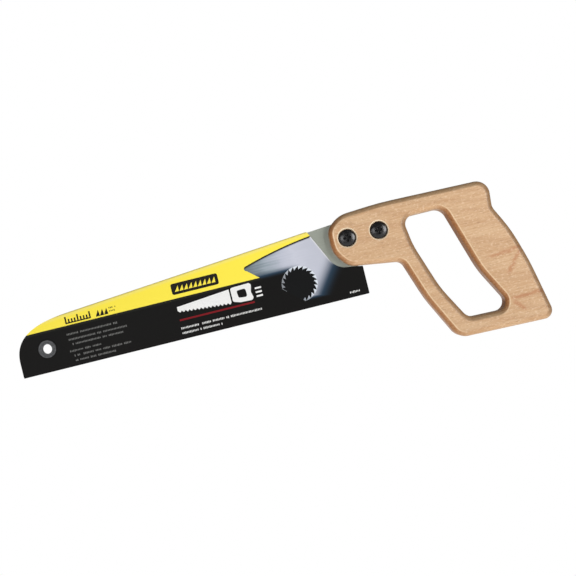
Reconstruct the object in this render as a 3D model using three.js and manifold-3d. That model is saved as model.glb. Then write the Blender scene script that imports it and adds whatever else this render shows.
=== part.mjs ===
// A short hand saw: a tapered steel blade let into a closed wooden handle, held by two
// screws and barrel nuts, with a folded card sleeve that slides off the blade.
//
// Sizes are in millimetres. X runs from the toe of the blade to the handle, Y through the
// thickness, and Z up, with the teeth facing down. Everything is drawn from the heel of the
// tooth line, at the middle of the blade's thickness. At the end the whole saw is moved so
// that the origin is the middle of the underside of its box.

import * as THREE from 'three';
import { mergeVertices } from 'three/addons/utils/BufferGeometryUtils.js';
import Module from 'manifold-3d';

// Clearances
const fitGap = 0.3;
const sleeveToHandleGap = 0.4;
const headSideGap = 0.5;

// Blade
const bladeThickness = 0.85;
const toothLineLength = 254;
const heelDepth = 56.7;
const backAngle = THREE.MathUtils.degToRad(4.7);
const toothPitch = 25.4 / 12;
const toothHeight = 1.5;
const toeLand = 2;
const toeHeight = 12;
const bladeNoseLength = 40;
const tangBehindScrew = 10.7;
const tangAboveUnderside = 3.7;
const hangHoleFromToe = 14.6;
const hangHoleAboveToe = 4.6;
const hangHoleDiameter = 8;

// Handle
const handleThickness = 22;
const handleLength = 149.2;
const handleHeight = 113.1;
const woodOverBlade = 5.9;
const noseReach = 16.4;
const edgeRadius = 4;
const topWall = 14.7;
const bottomWall = 13.5;
const gripWidth = 36;
const gripFootWidth = 29.1;
const frontBarWidth = 12;
const hornDepth = 24.9;
const noseUnderside = 22.3;
const throatHeight = 16.5;
const throatSetback = 31.7;

// Corners of the handle's outer edge. A setback runs towards the grip from the piece that the
// corner belongs to, a drop runs down from the handle's top, and a rise runs up
const noseCrown = { drop: 10.5, radius: 12 };
const shoulder = { setback: 10.4, drop: 1.9, radius: 22 };
const crest = { setback: 41.7, radius: 220 };
const horn = { drop: 1.9, radius: 12.7 };
const saddle = { setback: -1.8, drop: 23.2, radius: 9 };
const palm = { setback: 7.6, drop: 41.9, radius: 110 };
const swell = { setback: 15.6, drop: 67.9, radius: 180 };
const heelTip = { radius: 6.7 };
const barFoot = { setback: 27.6, rise: 1.8, radius: 12 };
const barFront = { setback: 10.4, drop: 30.7, radius: 90 };
const throat = { radius: 6.7 };
const noseCorner = { setback: 9.3, radius: 13.4 };
const noseFront = { rise: 12.3, radius: 18 };

// Corners of the hand hole, measured in the same way from the front bar, the top wall, the
// back of the grip and the bottom wall
const holeCrown = { setback: -4, drop: 0.1, radius: 6.7 };
const holeSaddle = { radius: 9 };
const holeSwell = { setback: -1.7, drop: 65.6, radius: 75 };
const holeHeel = { rise: 0.5, radius: 7 };
const holeFoot = { setback: 25.7, rise: 1.3, radius: 9 };
const holeBar = { setback: 11.1, drop: 25.9, radius: 90 };
const holeThroat = { setback: -0.9, rise: 9.5, radius: 60 };

// Screws and barrel nuts
const screwSpacing = 24;
const frontScrewSetback = -3.4;
const screwBelowBack = 13.7;
const counterboreDiameter = 13.6;
const counterboreDepth = 2.8;
const headRim = 0.9;
const headRecess = 0.3;
const shankDiameter = 5;
const barrelWall = 0.7;
const barrelEndGap = 1.7;
const shankEndGap = 0.5;
const shankChamfer = 0.6;
const domeSteps = 5;
const crossWidth = 1.6;
const crossLength = 6;
const crossDepth = 1.2;

// Sleeve
const cardThickness = 0.5;
const sleeveToeRoom = 7.5;
const sleeveHeelOverhang = 3.35;
const sleeveNoseExtra = 4.7;
const sleeveToeDrop = 1.6;
const sleeveShoulderRadius = 1.5;
const sleeveCutSlope = 15.1;
const sleeveCutSetback = 0.1;
const sleeveCutRadius = 15;
const sleeveCornerRadius = 0.6;

// Hang rings
const ringDiameter = 13.2;
const ringBore = 7.2;
const ringNeckWall = 0.7;
const ringThickness = 0.9;
const ringGrooveRadius = 5.1;
const ringGrooveDepth = 0.25;
const ringEdge = 0.35;

// Shape of the rounded nose of the blade and of the sleeve, as shares of its rise and length
const noseFullness = 0.58;
const noseShoulderRise = 0.92;
const noseShoulderReach = 0.25;

// Roundness of arcs and turned pieces
const arcStep = THREE.MathUtils.degToRad(14);
const turnSteps = 24;
const edgeSteps = 3;
const curveSteps = 10;
const shortestEdge = 0.01;
const overrun = 5;

// Sizes that follow from the ones above
const kerfWidth = bladeThickness + 2 * fitGap;
const sleeveThickness = kerfWidth + 2 * cardThickness;
const sleeveSkin = fitGap + cardThickness;
const headDiameter = counterboreDiameter - 2 * headSideGap;
const barrelBore = shankDiameter + 2 * fitGap;
const barrelDiameter = barrelBore + 2 * barrelWall;
const throughHole = barrelDiameter + 2 * fitGap;
const cheek = handleThickness / 2;
const seat = cheek - counterboreDepth;
const headUnderside = seat + fitGap;
const headTop = cheek - headRecess;
const noseX = -noseReach;
const rearX = noseX + handleLength;
const hornX = rearX - hornDepth;
const noseCornerX = noseX + noseCorner.setback;
const handleTop = heelDepth + woodOverBlade;
const handleBottom = handleTop - handleHeight;
const toeX = -toothLineLength;
const hangHoleX = toeX + hangHoleFromToe;
const hangHoleHeight = toeHeight + hangHoleAboveToe;
const screwXs = [frontScrewSetback, frontScrewSetback + screwSpacing];
const screwHeight = heelDepth - screwBelowBack;
const tangBottom = noseUnderside + tangAboveUnderside;
const tangLength = Math.max(...screwXs) + tangBehindScrew;
const sleeveCutFoot = noseX + sleeveCutSetback;
const sleeveBackEnd = sleeveCutFoot - sleeveCutSlope;

const wasm = await Module();
wasm.setup();

/** Height of the blade's back edge at x, raised square to the edge by an allowance. */
function backHeight(x, allowance = 0) {
  return heelDepth + x * Math.tan(backAngle) + allowance / Math.cos(backAngle);
}

/** Height of the handle's underside at x, between its nose and its throat. */
function undersideHeight(x) {
  const fall = (throatHeight - noseUnderside) / (throatSetback - noseCornerX);
  return noseUnderside + fall * (x - noseCornerX);
}

/**
 * Turns a closed list of corners [x, z, radius] into points, with an arc where radius > 0. An
 * arc is limited by the edges that it rounds, and where two arcs meet they share a point.
 */
function roundedOutline(corners) {
  const points = [];
  corners.forEach(([x, z, radius], index) => {
    const corner = new THREE.Vector2(x, z);
    if (radius === 0) {
      points.push(corner);
      return;
    }
    const before = new THREE.Vector2(...corners.at(index - 1).slice(0, 2)).sub(corner);
    const after = new THREE.Vector2(...corners[(index + 1) % corners.length].slice(0, 2)).sub(corner);
    const longestReach = Math.min(before.length(), after.length()) / 2;
    before.normalize();
    after.normalize();
    const halfAngle = Math.acos(before.dot(after)) / 2;
    const reach = Math.min(radius / Math.tan(halfAngle), longestReach);
    const arcRadius = reach * Math.tan(halfAngle);
    const inward = before.clone().add(after).normalize();
    const centre = corner.clone().addScaledVector(inward, arcRadius / Math.sin(halfAngle));
    const start = corner.clone().addScaledVector(before, reach).sub(centre).angle();
    const end = corner.clone().addScaledVector(after, reach).sub(centre).angle();
    const sweep = THREE.MathUtils.euclideanModulo(end - start + Math.PI, 2 * Math.PI) - Math.PI;
    const steps = Math.max(1, Math.ceil(Math.abs(sweep) / arcStep));
    for (let step = 0; step <= steps; step += 1) {
      const angle = start + (sweep * step) / steps;
      points.push(new THREE.Vector2(Math.cos(angle), Math.sin(angle)).multiplyScalar(arcRadius).add(centre));
    }
  });
  return points.filter((point, index) => point.distanceTo(points.at(index - 1)) > shortestEdge);
}

/** Points of a round hole. */
function circle(x, z, diameter) {
  const path = new THREE.Path();
  path.absarc(x, z, diameter / 2, 0, 2 * Math.PI, true);
  return path.getSpacedPoints(turnSteps).slice(0, turnSteps);
}

/** A plate of the outline drawn in X and Z, centred on Y = 0, with square or rounded edges. */
function plate(outline, holes, thickness, roundover = 0) {
  const clockwise = THREE.ShapeUtils.isClockWise(outline);
  const shape = new THREE.Shape(clockwise ? [...outline].reverse() : outline);
  shape.holes = holes.map((points) => new THREE.Path(points));
  const geometry = new THREE.ExtrudeGeometry(shape, {
    depth: thickness - 2 * roundover,
    bevelEnabled: roundover > 0,
    bevelThickness: roundover,
    bevelSize: roundover,
    bevelOffset: -roundover,
    bevelSegments: edgeSteps,
  });
  geometry.translate(0, 0, roundover - thickness / 2);
  geometry.rotateX(Math.PI / 2);
  return geometry;
}

/** A cylinder along Y between two heights, for cutting a hole. */
function bore(x, z, diameter, fromY, toY) {
  const geometry = new THREE.CylinderGeometry(diameter / 2, diameter / 2, toY - fromY, turnSteps);
  geometry.translate(x, (fromY + toY) / 2, z);
  return geometry;
}

/** The solid that a geometry encloses. */
function toSolid(geometry) {
  geometry.deleteAttribute('normal');
  geometry.deleteAttribute('uv');
  const welded = mergeVertices(geometry, 1e-5);
  return new wasm.Manifold(new wasm.Mesh({
    numProp: 3,
    vertProperties: new Float32Array(welded.attributes.position.array),
    triVerts: new Uint32Array(welded.index.array),
  }));
}

/** A geometry cut by a list of other geometries. */
function cut(geometry, cutters) {
  const solid = cutters.reduce((body, cutter) => body.subtract(toSolid(cutter)), toSolid(geometry));
  const mesh = solid.getMesh();
  const result = new THREE.BufferGeometry();
  result.setAttribute('position', new THREE.BufferAttribute(mesh.vertProperties, 3));
  result.setIndex(new THREE.BufferAttribute(mesh.triVerts, 1));
  result.computeVertexNormals();
  return result;
}

/** Points [x, z] as vectors. */
function toPoints(pairs) {
  return pairs.map(([x, z]) => new THREE.Vector2(x, z));
}

/** A rounded blade or card nose, from its straight toe up to its back. */
function nose(endX, toe, length, back) {
  const rise = back - toe;
  const curve = new THREE.CubicBezierCurve(
    new THREE.Vector2(endX, toe),
    new THREE.Vector2(endX, toe + noseFullness * rise),
    new THREE.Vector2(endX + noseShoulderReach * length, toe + noseShoulderRise * rise),
    new THREE.Vector2(endX + length, back),
  );
  return curve.getPoints(curveSteps);
}

/** The blade: teeth along the bottom, a rounded toe, and a tang stepped up for the handle. */
function bladeGeometry() {
  const noseEnd = toeX + bladeNoseLength;
  const teeth = [];
  const toothCount = Math.floor((toothLineLength - toeLand) / toothPitch);
  const firstTooth = -toothCount * toothPitch;
  for (let tooth = 0; tooth < toothCount; tooth += 1) {
    const x = firstTooth + tooth * toothPitch;
    teeth.push([x, toothHeight], [x + toothPitch / 2, 0]);
  }
  const outline = [
    ...toPoints([[toeX, toothHeight]]),
    ...toPoints(teeth),
    ...toPoints([
      [0, toothHeight],
      [0, tangBottom],
      [tangLength, tangBottom],
      [tangLength, backHeight(tangLength)],
    ]),
    ...nose(toeX, toeHeight, bladeNoseLength, backHeight(noseEnd)).reverse(),
  ];
  const holes = screwXs.map((x) => circle(x, screwHeight, throughHole));
  holes.push(circle(hangHoleX, hangHoleHeight, hangHoleDiameter));
  return plate(outline, holes, bladeThickness);
}

/** Outer edge of the handle, from the nose over the top and round the grip. */
function handleOutline() {
  return roundedOutline([
    [noseX, handleTop - noseCrown.drop, noseCrown.radius],
    [noseX + shoulder.setback, handleTop - shoulder.drop, shoulder.radius],
    [noseX + crest.setback, handleTop, crest.radius],
    [hornX, handleTop - horn.drop, horn.radius],
    [hornX + saddle.setback, handleTop - saddle.drop, saddle.radius],
    [hornX + palm.setback, handleTop - palm.drop, palm.radius],
    [hornX + swell.setback, handleTop - swell.drop, swell.radius],
    [rearX, handleBottom, heelTip.radius],
    [throatSetback + barFoot.setback, handleBottom + barFoot.rise, barFoot.radius],
    [throatSetback + barFront.setback, throatHeight - barFront.drop, barFront.radius],
    [throatSetback, throatHeight, throat.radius],
    [noseCornerX, noseUnderside, noseCorner.radius],
    [noseX, noseUnderside + noseFront.rise, noseFront.radius],
  ]);
}

/** The hand hole, inside the top wall, the grip, the bottom wall and the front bar. */
function handHole() {
  const holeTop = handleTop - topWall;
  const holeBottom = handleBottom + bottomWall;
  const barX = throatSetback + frontBarWidth;
  const saddleX = hornX + saddle.setback - gripWidth;
  const swellX = hornX + swell.setback - gripWidth;
  return roundedOutline([
    [barX + holeCrown.setback, holeTop - holeCrown.drop, holeCrown.radius],
    [saddleX, holeTop, holeSaddle.radius],
    [swellX + holeSwell.setback, handleTop - holeSwell.drop, holeSwell.radius],
    [rearX - gripFootWidth, holeBottom + holeHeel.rise, holeHeel.radius],
    [barX + holeFoot.setback, holeBottom + holeFoot.rise, holeFoot.radius],
    [barX + holeBar.setback, throatHeight - holeBar.drop, holeBar.radius],
    [barX + holeThroat.setback, throatHeight + holeThroat.rise, holeThroat.radius],
  ]);
}

/** The handle, with its kerf for the blade and its counterbored screw holes. */
function handleGeometry() {
  const kerfFront = noseX - overrun;
  const kerfRear = tangLength + fitGap;
  const kerf = toPoints([
    [kerfFront, throatHeight - overrun],
    [fitGap, throatHeight - overrun],
    [fitGap, tangBottom - fitGap],
    [kerfRear, tangBottom - fitGap],
    [kerfRear, backHeight(kerfRear, fitGap)],
    [kerfFront, backHeight(kerfFront, fitGap)],
  ]);
  const cutters = [plate(kerf, [], kerfWidth)];
  for (const x of screwXs) {
    cutters.push(bore(x, screwHeight, throughHole, -cheek - overrun, cheek + overrun));
    cutters.push(bore(x, screwHeight, counterboreDiameter, -cheek - overrun, -seat));
    cutters.push(bore(x, screwHeight, counterboreDiameter, seat, cheek + overrun));
  }
  return cut(plate(handleOutline(), [handHole()], handleThickness, edgeRadius), cutters);
}

/** Profile of a domed head, from its top on the axis out to its rim's lower edge. */
function headProfile() {
  const rimTop = headUnderside + headRim;
  const dome = headTop - rimTop;
  const radius = headDiameter / 2;
  const points = [];
  for (let step = 0; step <= domeSteps; step += 1) {
    const angle = (Math.PI / 2) * (step / domeSteps);
    points.push([radius * Math.sin(angle), rimTop + dome * Math.cos(angle)]);
  }
  points.push([radius, headUnderside]);
  return points;
}

/** A piece turned about Y from its profile [radius, y], listed from the top down. */
function turned(profile) {
  return new THREE.LatheGeometry(toPoints([...profile].reverse()), turnSteps);
}

/** A cross recess cut down from y = top. */
function crossCutters(top) {
  const depth = 2 * crossDepth;
  return [
    new THREE.BoxGeometry(crossLength, depth, crossWidth).translate(0, top, 0),
    new THREE.BoxGeometry(crossWidth, depth, crossLength).translate(0, top, 0),
  ];
}

/** A screw with its head at positive Y and its shank running towards the other side. */
function screwGeometry() {
  const shank = shankDiameter / 2;
  const shankEnd = -(headUnderside - barrelEndGap - shankEndGap);
  const profile = [
    ...headProfile(),
    [shank, headUnderside],
    [shank, shankEnd + shankChamfer],
    [shank - shankChamfer, shankEnd],
    [0, shankEnd],
  ];
  return cut(turned(profile), crossCutters(headTop));
}

/** A barrel nut with its head at positive Y and a blind bore for the screw's shank. */
function barrelNutGeometry() {
  const barrelEnd = -(seat - barrelEndGap);
  const boreFloor = headUnderside - barrelEndGap;
  const profile = [
    ...headProfile(),
    [barrelDiameter / 2, headUnderside],
    [barrelDiameter / 2, barrelEnd],
    [barrelBore / 2, barrelEnd],
    [barrelBore / 2, boreFloor],
    [0, boreFloor],
  ];
  return cut(turned(profile), crossCutters(headTop));
}

/** Outer edge of the card sleeve, from its heel cut round to its nose and along the fold. */
function sleeveOutline() {
  const endX = toeX - sleeveToeRoom;
  const noseLength = bladeNoseLength + sleeveNoseExtra;
  const noseEnd = endX + noseLength;
  const toe = toeHeight - sleeveToeDrop;
  const back = backHeight(noseEnd, sleeveSkin);
  const heelX = sleeveHeelOverhang;
  const cutTop = undersideHeight(sleeveCutFoot) - sleeveToHandleGap;
  const heelTop = undersideHeight(heelX) - sleeveToHandleGap;
  const straight = roundedOutline([
    [noseEnd, back, 0],
    [sleeveBackEnd, backHeight(sleeveBackEnd, sleeveSkin), sleeveShoulderRadius],
    [sleeveCutFoot, cutTop, sleeveCutRadius],
    [heelX, heelTop, sleeveCornerRadius],
    [heelX, -sleeveSkin, sleeveCornerRadius],
    [endX, -sleeveSkin, sleeveCornerRadius],
    [endX, toe, 0],
  ]);
  return [...straight, ...nose(endX, toe, noseLength, back).slice(1, -1)];
}

/** The card sleeve: two panels folded together along the back and along the teeth. */
function sleeveGeometry() {
  const hole = circle(hangHoleX, hangHoleHeight, ringBore + 2 * (ringNeckWall + fitGap));
  const inFront = toeX - sleeveToeRoom - overrun;
  const behind = sleeveHeelOverhang + overrun;
  const space = toPoints([
    [inFront, -fitGap],
    [behind, -fitGap],
    [behind, backHeight(behind, fitGap)],
    [inFront, backHeight(inFront, fitGap)],
  ]);
  return cut(plate(sleeveOutline(), [hole], sleeveThickness), [plate(space, [], kerfWidth)]);
}

/** An eyelet ring on one side of the sleeve, its flange at positive Y and its neck in the card. */
function ringGeometry() {
  const face = sleeveThickness / 2;
  const flangeBottom = face + fitGap;
  const flangeTop = flangeBottom + ringThickness;
  const inner = ringBore / 2;
  const outer = ringDiameter / 2;
  const neckEnd = face - cardThickness;
  return turned([
    [inner, flangeTop - ringEdge],
    [inner + ringEdge, flangeTop],
    [ringGrooveRadius - ringEdge, flangeTop],
    [ringGrooveRadius, flangeTop - ringGrooveDepth],
    [ringGrooveRadius + ringEdge, flangeTop],
    [outer - ringEdge, flangeTop],
    [outer, flangeTop - ringEdge],
    [outer, flangeBottom],
    [inner + ringNeckWall, flangeBottom],
    [inner + ringNeckWall, neckEnd],
    [inner, neckEnd],
    [inner, flangeTop - ringEdge],
  ]);
}

/** A named mesh with a plain material. */
function piece(name, geometry, color, roughness, metalness) {
  const mesh = new THREE.Mesh(geometry, new THREE.MeshStandardMaterial({ color, roughness, metalness }));
  mesh.name = name;
  return mesh;
}

const saw = new THREE.Group();
saw.add(piece('handle', handleGeometry(), 0xd9b48a, 0.5, 0));
saw.add(piece('blade', bladeGeometry(), 0x96978c, 0.35, 1));
['front', 'rear'].forEach((place, index) => {
  const screw = piece(`${place}_screw`, screwGeometry(), 0x141516, 0.3, 0.4);
  const nut = piece(`${place}_barrel_nut`, barrelNutGeometry(), 0x141516, 0.3, 0.4);
  screw.position.set(screwXs[index], 0, screwHeight);
  screw.rotation.x = Math.PI;
  nut.position.set(screwXs[index], 0, screwHeight);
  saw.add(screw, nut);
});

const sleeve = new THREE.Group();
sleeve.add(piece('card_sleeve', sleeveGeometry(), 0xf2dc4b, 0.45, 0));
const frontRing = piece('front_hang_ring', ringGeometry(), 0x4a4b4e, 0.4, 0.1);
const backRing = piece('back_hang_ring', ringGeometry(), 0x4a4b4e, 0.4, 0.1);
frontRing.position.set(hangHoleX, 0, hangHoleHeight);
frontRing.rotation.x = Math.PI;
backRing.position.set(hangHoleX, 0, hangHoleHeight);
sleeve.add(frontRing, backRing);
saw.add(sleeve);

saw.updateMatrixWorld(true);
const box = new THREE.Box3().setFromObject(saw, true);
const middle = box.getCenter(new THREE.Vector3());
saw.position.set(-middle.x, -middle.y, -box.min.z);

export default saw;
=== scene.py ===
"""The looks of a short hand saw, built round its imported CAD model.

A closed wooden handle holds a tapered steel blade with two screws and barrel nuts. A folded
card sleeve, with a hang ring on each side, slides off the blade towards its toe.

Shapes are drawn in millimetres from the heel of the tooth line, at the middle of the blade's
thickness: X runs towards the handle, Z up, and the front of the saw faces -Y. Each finished
mesh is then scaled to metres and moved to where the CAD model has that heel.
"""

import logging
import math
from collections.abc import Callable, Sequence
from dataclasses import dataclass
from enum import Enum

import bmesh
import bpy
from mathutils import Matrix, Vector
from mathutils.geometry import delaunay_2d_cdt


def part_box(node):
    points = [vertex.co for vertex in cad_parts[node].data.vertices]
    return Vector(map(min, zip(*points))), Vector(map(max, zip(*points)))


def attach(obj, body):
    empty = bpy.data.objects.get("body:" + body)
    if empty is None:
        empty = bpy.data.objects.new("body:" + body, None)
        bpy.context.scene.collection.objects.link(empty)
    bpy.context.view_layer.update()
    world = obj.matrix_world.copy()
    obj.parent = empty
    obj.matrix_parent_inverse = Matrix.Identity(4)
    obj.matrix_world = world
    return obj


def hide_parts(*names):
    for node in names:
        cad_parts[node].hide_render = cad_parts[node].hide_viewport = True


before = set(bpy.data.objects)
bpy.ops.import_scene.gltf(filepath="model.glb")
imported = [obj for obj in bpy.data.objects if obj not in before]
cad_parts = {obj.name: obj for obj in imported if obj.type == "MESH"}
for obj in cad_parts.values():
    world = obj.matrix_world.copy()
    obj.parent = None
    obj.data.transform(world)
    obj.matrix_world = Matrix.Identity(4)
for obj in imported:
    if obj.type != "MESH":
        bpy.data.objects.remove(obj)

METRES = 0.001
ARC_STEP = math.radians(4)
TURN_STEPS = 64
OVERRUN = 5.0
COINCIDENT = 0.005
FILL_TOLERANCE = 1e-6
TRIANGLES_INSIDE = 1

log = logging.getLogger("hand_saw")

Colour = tuple[float, float, float, float]
Pair = tuple[float, float]
Triple = tuple[float, float, float]
Loop = Sequence[Vector]


def paint(red: int, green: int, blue: int) -> Colour:
    """Turns a colour as a screen shows it into the linear one that a shader takes.

    Args:
        red: the red channel, 0 to 255.
        green: the green channel, 0 to 255.
        blue: the blue channel, 0 to 255.

    Returns:
        The opaque colour.
    """
    shares = [level / 255 for level in (red, green, blue)]
    linear = [share / 12.92 if share <= 0.04045 else ((share + 0.055) / 1.055) ** 2.4 for share in shares]
    return (*linear, 1.0)


# ---------------------------------------------------------------- nodes as Python expressions


def joined_by(operation: str, reflected: bool = False) -> Callable[["Wire", "Wire | float"], "Wire"]:
    """Makes a method that joins a wire and another value by one Math node.

    Args:
        operation: the node's operation.
        reflected: whether the other value comes first.

    Returns:
        The method.
    """
    def method(self: "Wire", other: "Wire | float") -> "Wire":
        """Adds the node and returns its output."""
        return self.bench.maths(operation, *((other, self) if reflected else (self, other)))

    return method


class Wire:
    """An output of a node tree that takes part in Python arithmetic.

    A comparison is 1 where it holds, else 0, and what % leaves is never negative.
    """

    __add__ = __radd__ = joined_by("ADD")
    __sub__ = joined_by("SUBTRACT")
    __rsub__ = joined_by("SUBTRACT", reflected=True)
    __mul__ = __rmul__ = joined_by("MULTIPLY")
    __truediv__ = joined_by("DIVIDE")
    __mod__ = joined_by("FLOORED_MODULO")
    __gt__ = joined_by("GREATER_THAN")
    __lt__ = joined_by("LESS_THAN")
    least = joined_by("MINIMUM")
    most = joined_by("MAXIMUM")

    def __init__(self, bench: "Bench", socket: bpy.types.NodeSocket) -> None:
        """Wraps a socket of the bench's tree."""
        self.bench = bench
        self.socket = socket

    def size(self) -> "Wire":
        """This value without its sign."""
        return self.bench.maths("ABSOLUTE", self)

    def fade(self, start: float, end: float) -> "Wire":
        """Runs smoothly from 0 where this value is at start to 1 where it is at end."""
        sockets = {"Value": self, "From Min": start, "From Max": end}
        return self.bench.node("ShaderNodeMapRange", {"interpolation_type": "SMOOTHSTEP"}, sockets)


class Bench:
    """A node tree, with one method that makes any of its nodes."""

    def __init__(self, tree: bpy.types.NodeTree) -> None:
        """Works on a tree."""
        self.tree = tree

    def node(self, kind: str, settings: dict | None = None, values: dict | None = None,
             output: int | str = 0) -> Wire:
        """Makes a node.

        Args:
            kind: the node's type.
            settings: the node's own properties, and "stops" for a colour ramp's.
            values: what each input socket holds or is linked to, by name or number.
            output: the output that is wanted, by name or number.

        Returns:
            That output.
        """
        made = self.tree.nodes.new(kind)
        for name, setting in (settings or {}).items():
            if name == "stops":
                self._set_stops(made.color_ramp, setting)
            else:
                setattr(made, name, setting)
        for key, value in (values or {}).items():
            if isinstance(value, Wire):
                self.tree.links.new(value.socket, made.inputs[key])
            else:
                made.inputs[key].default_value = value
        return Wire(self, made.outputs[output])

    @staticmethod
    def _set_stops(ramp: bpy.types.ColorRamp, stops: Sequence[tuple[float, Colour]]) -> None:
        """Gives a colour ramp its stops.

        Args:
            ramp: the ramp, with two stops.
            stops: the place and colour of each stop.
        """
        while len(ramp.elements) < len(stops):
            ramp.elements.new(0.5)
        for element, (place, colour) in zip(ramp.elements, stops):
            element.position = place
            element.color = colour

    def maths(self, operation: str, *values: Wire | float) -> Wire:
        """A Math node on one or more values."""
        return self.node("ShaderNodeMath", {"operation": operation}, dict(enumerate(values)))

    def mix(self, share: Wire | float, first: Wire | Colour, second: Wire | Colour,
            blend: str = "MIX") -> Wire:
        """A colour that runs from the first to the second as share runs from 0 to 1."""
        settings = {"data_type": "RGBA", "blend_type": blend}
        return self.node("ShaderNodeMix", settings, {0: share, 6: first, 7: second}, 2)

    def vector(self, x: Wire | float, y: Wire | float, z: Wire | float) -> Wire:
        """A vector of three values."""
        return self.node("ShaderNodeCombineXYZ", None, {0: x, 1: y, 2: z})

    def parts(self, vector: Wire) -> tuple[Wire, Wire, Wire]:
        """The three values of a vector."""
        split = self.node("ShaderNodeSeparateXYZ", None, {0: vector})
        return tuple(Wire(self, split.socket.node.outputs[axis]) for axis in "XYZ")

    def from_heel(self, heel: Vector) -> Wire:
        """Measures from the heel of the tooth line.

        Args:
            heel: where that heel is on the piece, in metres.

        Returns:
            The place on the piece, in millimetres from the heel.
        """
        place = self.node("ShaderNodeTexCoord", output="Object")
        moved = self.node("ShaderNodeVectorMath", {"operation": "SUBTRACT"}, {0: place, 1: heel})
        scaled = {0: moved, "Scale": 1 / METRES}
        return self.node("ShaderNodeVectorMath", {"operation": "SCALE"}, scaled)

    def noise(self, place: Wire, waves: Triple, detail: float = 3.0, roughness: float = 0.55) -> Wire:
        """Makes noise.

        Args:
            place: where it is read.
            waves: how many waves there are to the millimetre, along each axis.
            detail: how many finer octaves it has.
            roughness: how strong they are.

        Returns:
            The noise, from 0 to 1.
        """
        spread = self.node("ShaderNodeVectorMath", {"operation": "MULTIPLY"}, {0: place, 1: waves})
        values = {"Vector": spread, "Scale": 1.0, "Detail": detail, "Roughness": roughness}
        return self.node("ShaderNodeTexNoise", None, values)

    def reach(self, across: Wire, up: Wire) -> Wire:
        """Distance from a centre."""
        return self.maths("SQRT", across * across + up * up)

    def bump(self, height: Wire, depth: float, strength: float = 1.0) -> Wire:
        """A normal that follows a height, whose full depth is in millimetres."""
        values = {"Height": height, "Distance": depth * METRES, "Strength": strength}
        return self.node("ShaderNodeBump", None, values)


# ---------------------------------------------------------------- finishes


@dataclass(frozen=True)
class Finish:
    """What every finish of the saw has: a name, a place to measure from and a gloss."""

    name: str
    heel: Vector
    roughness: float = 0.5

    def start(self) -> tuple[bpy.types.Material, Bench, bpy.types.ShaderNodeBsdfPrincipled]:
        """Makes the material.

        Returns:
            The material, its bench and its shader.
        """
        material = bpy.data.materials.new(self.name)
        material.use_nodes = True
        shader = material.node_tree.nodes["Principled BSDF"]
        shader.inputs["Roughness"].default_value = self.roughness
        return material, Bench(material.node_tree), shader

    @staticmethod
    def join(bench: Bench, shader: bpy.types.ShaderNodeBsdfPrincipled, **links: Wire) -> None:
        """Links values to the shader's sockets, whose names have underscores for spaces."""
        for name, wire in links.items():
            bench.tree.links.new(wire.socket, shader.inputs[name.replace("_", " ")])


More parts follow.
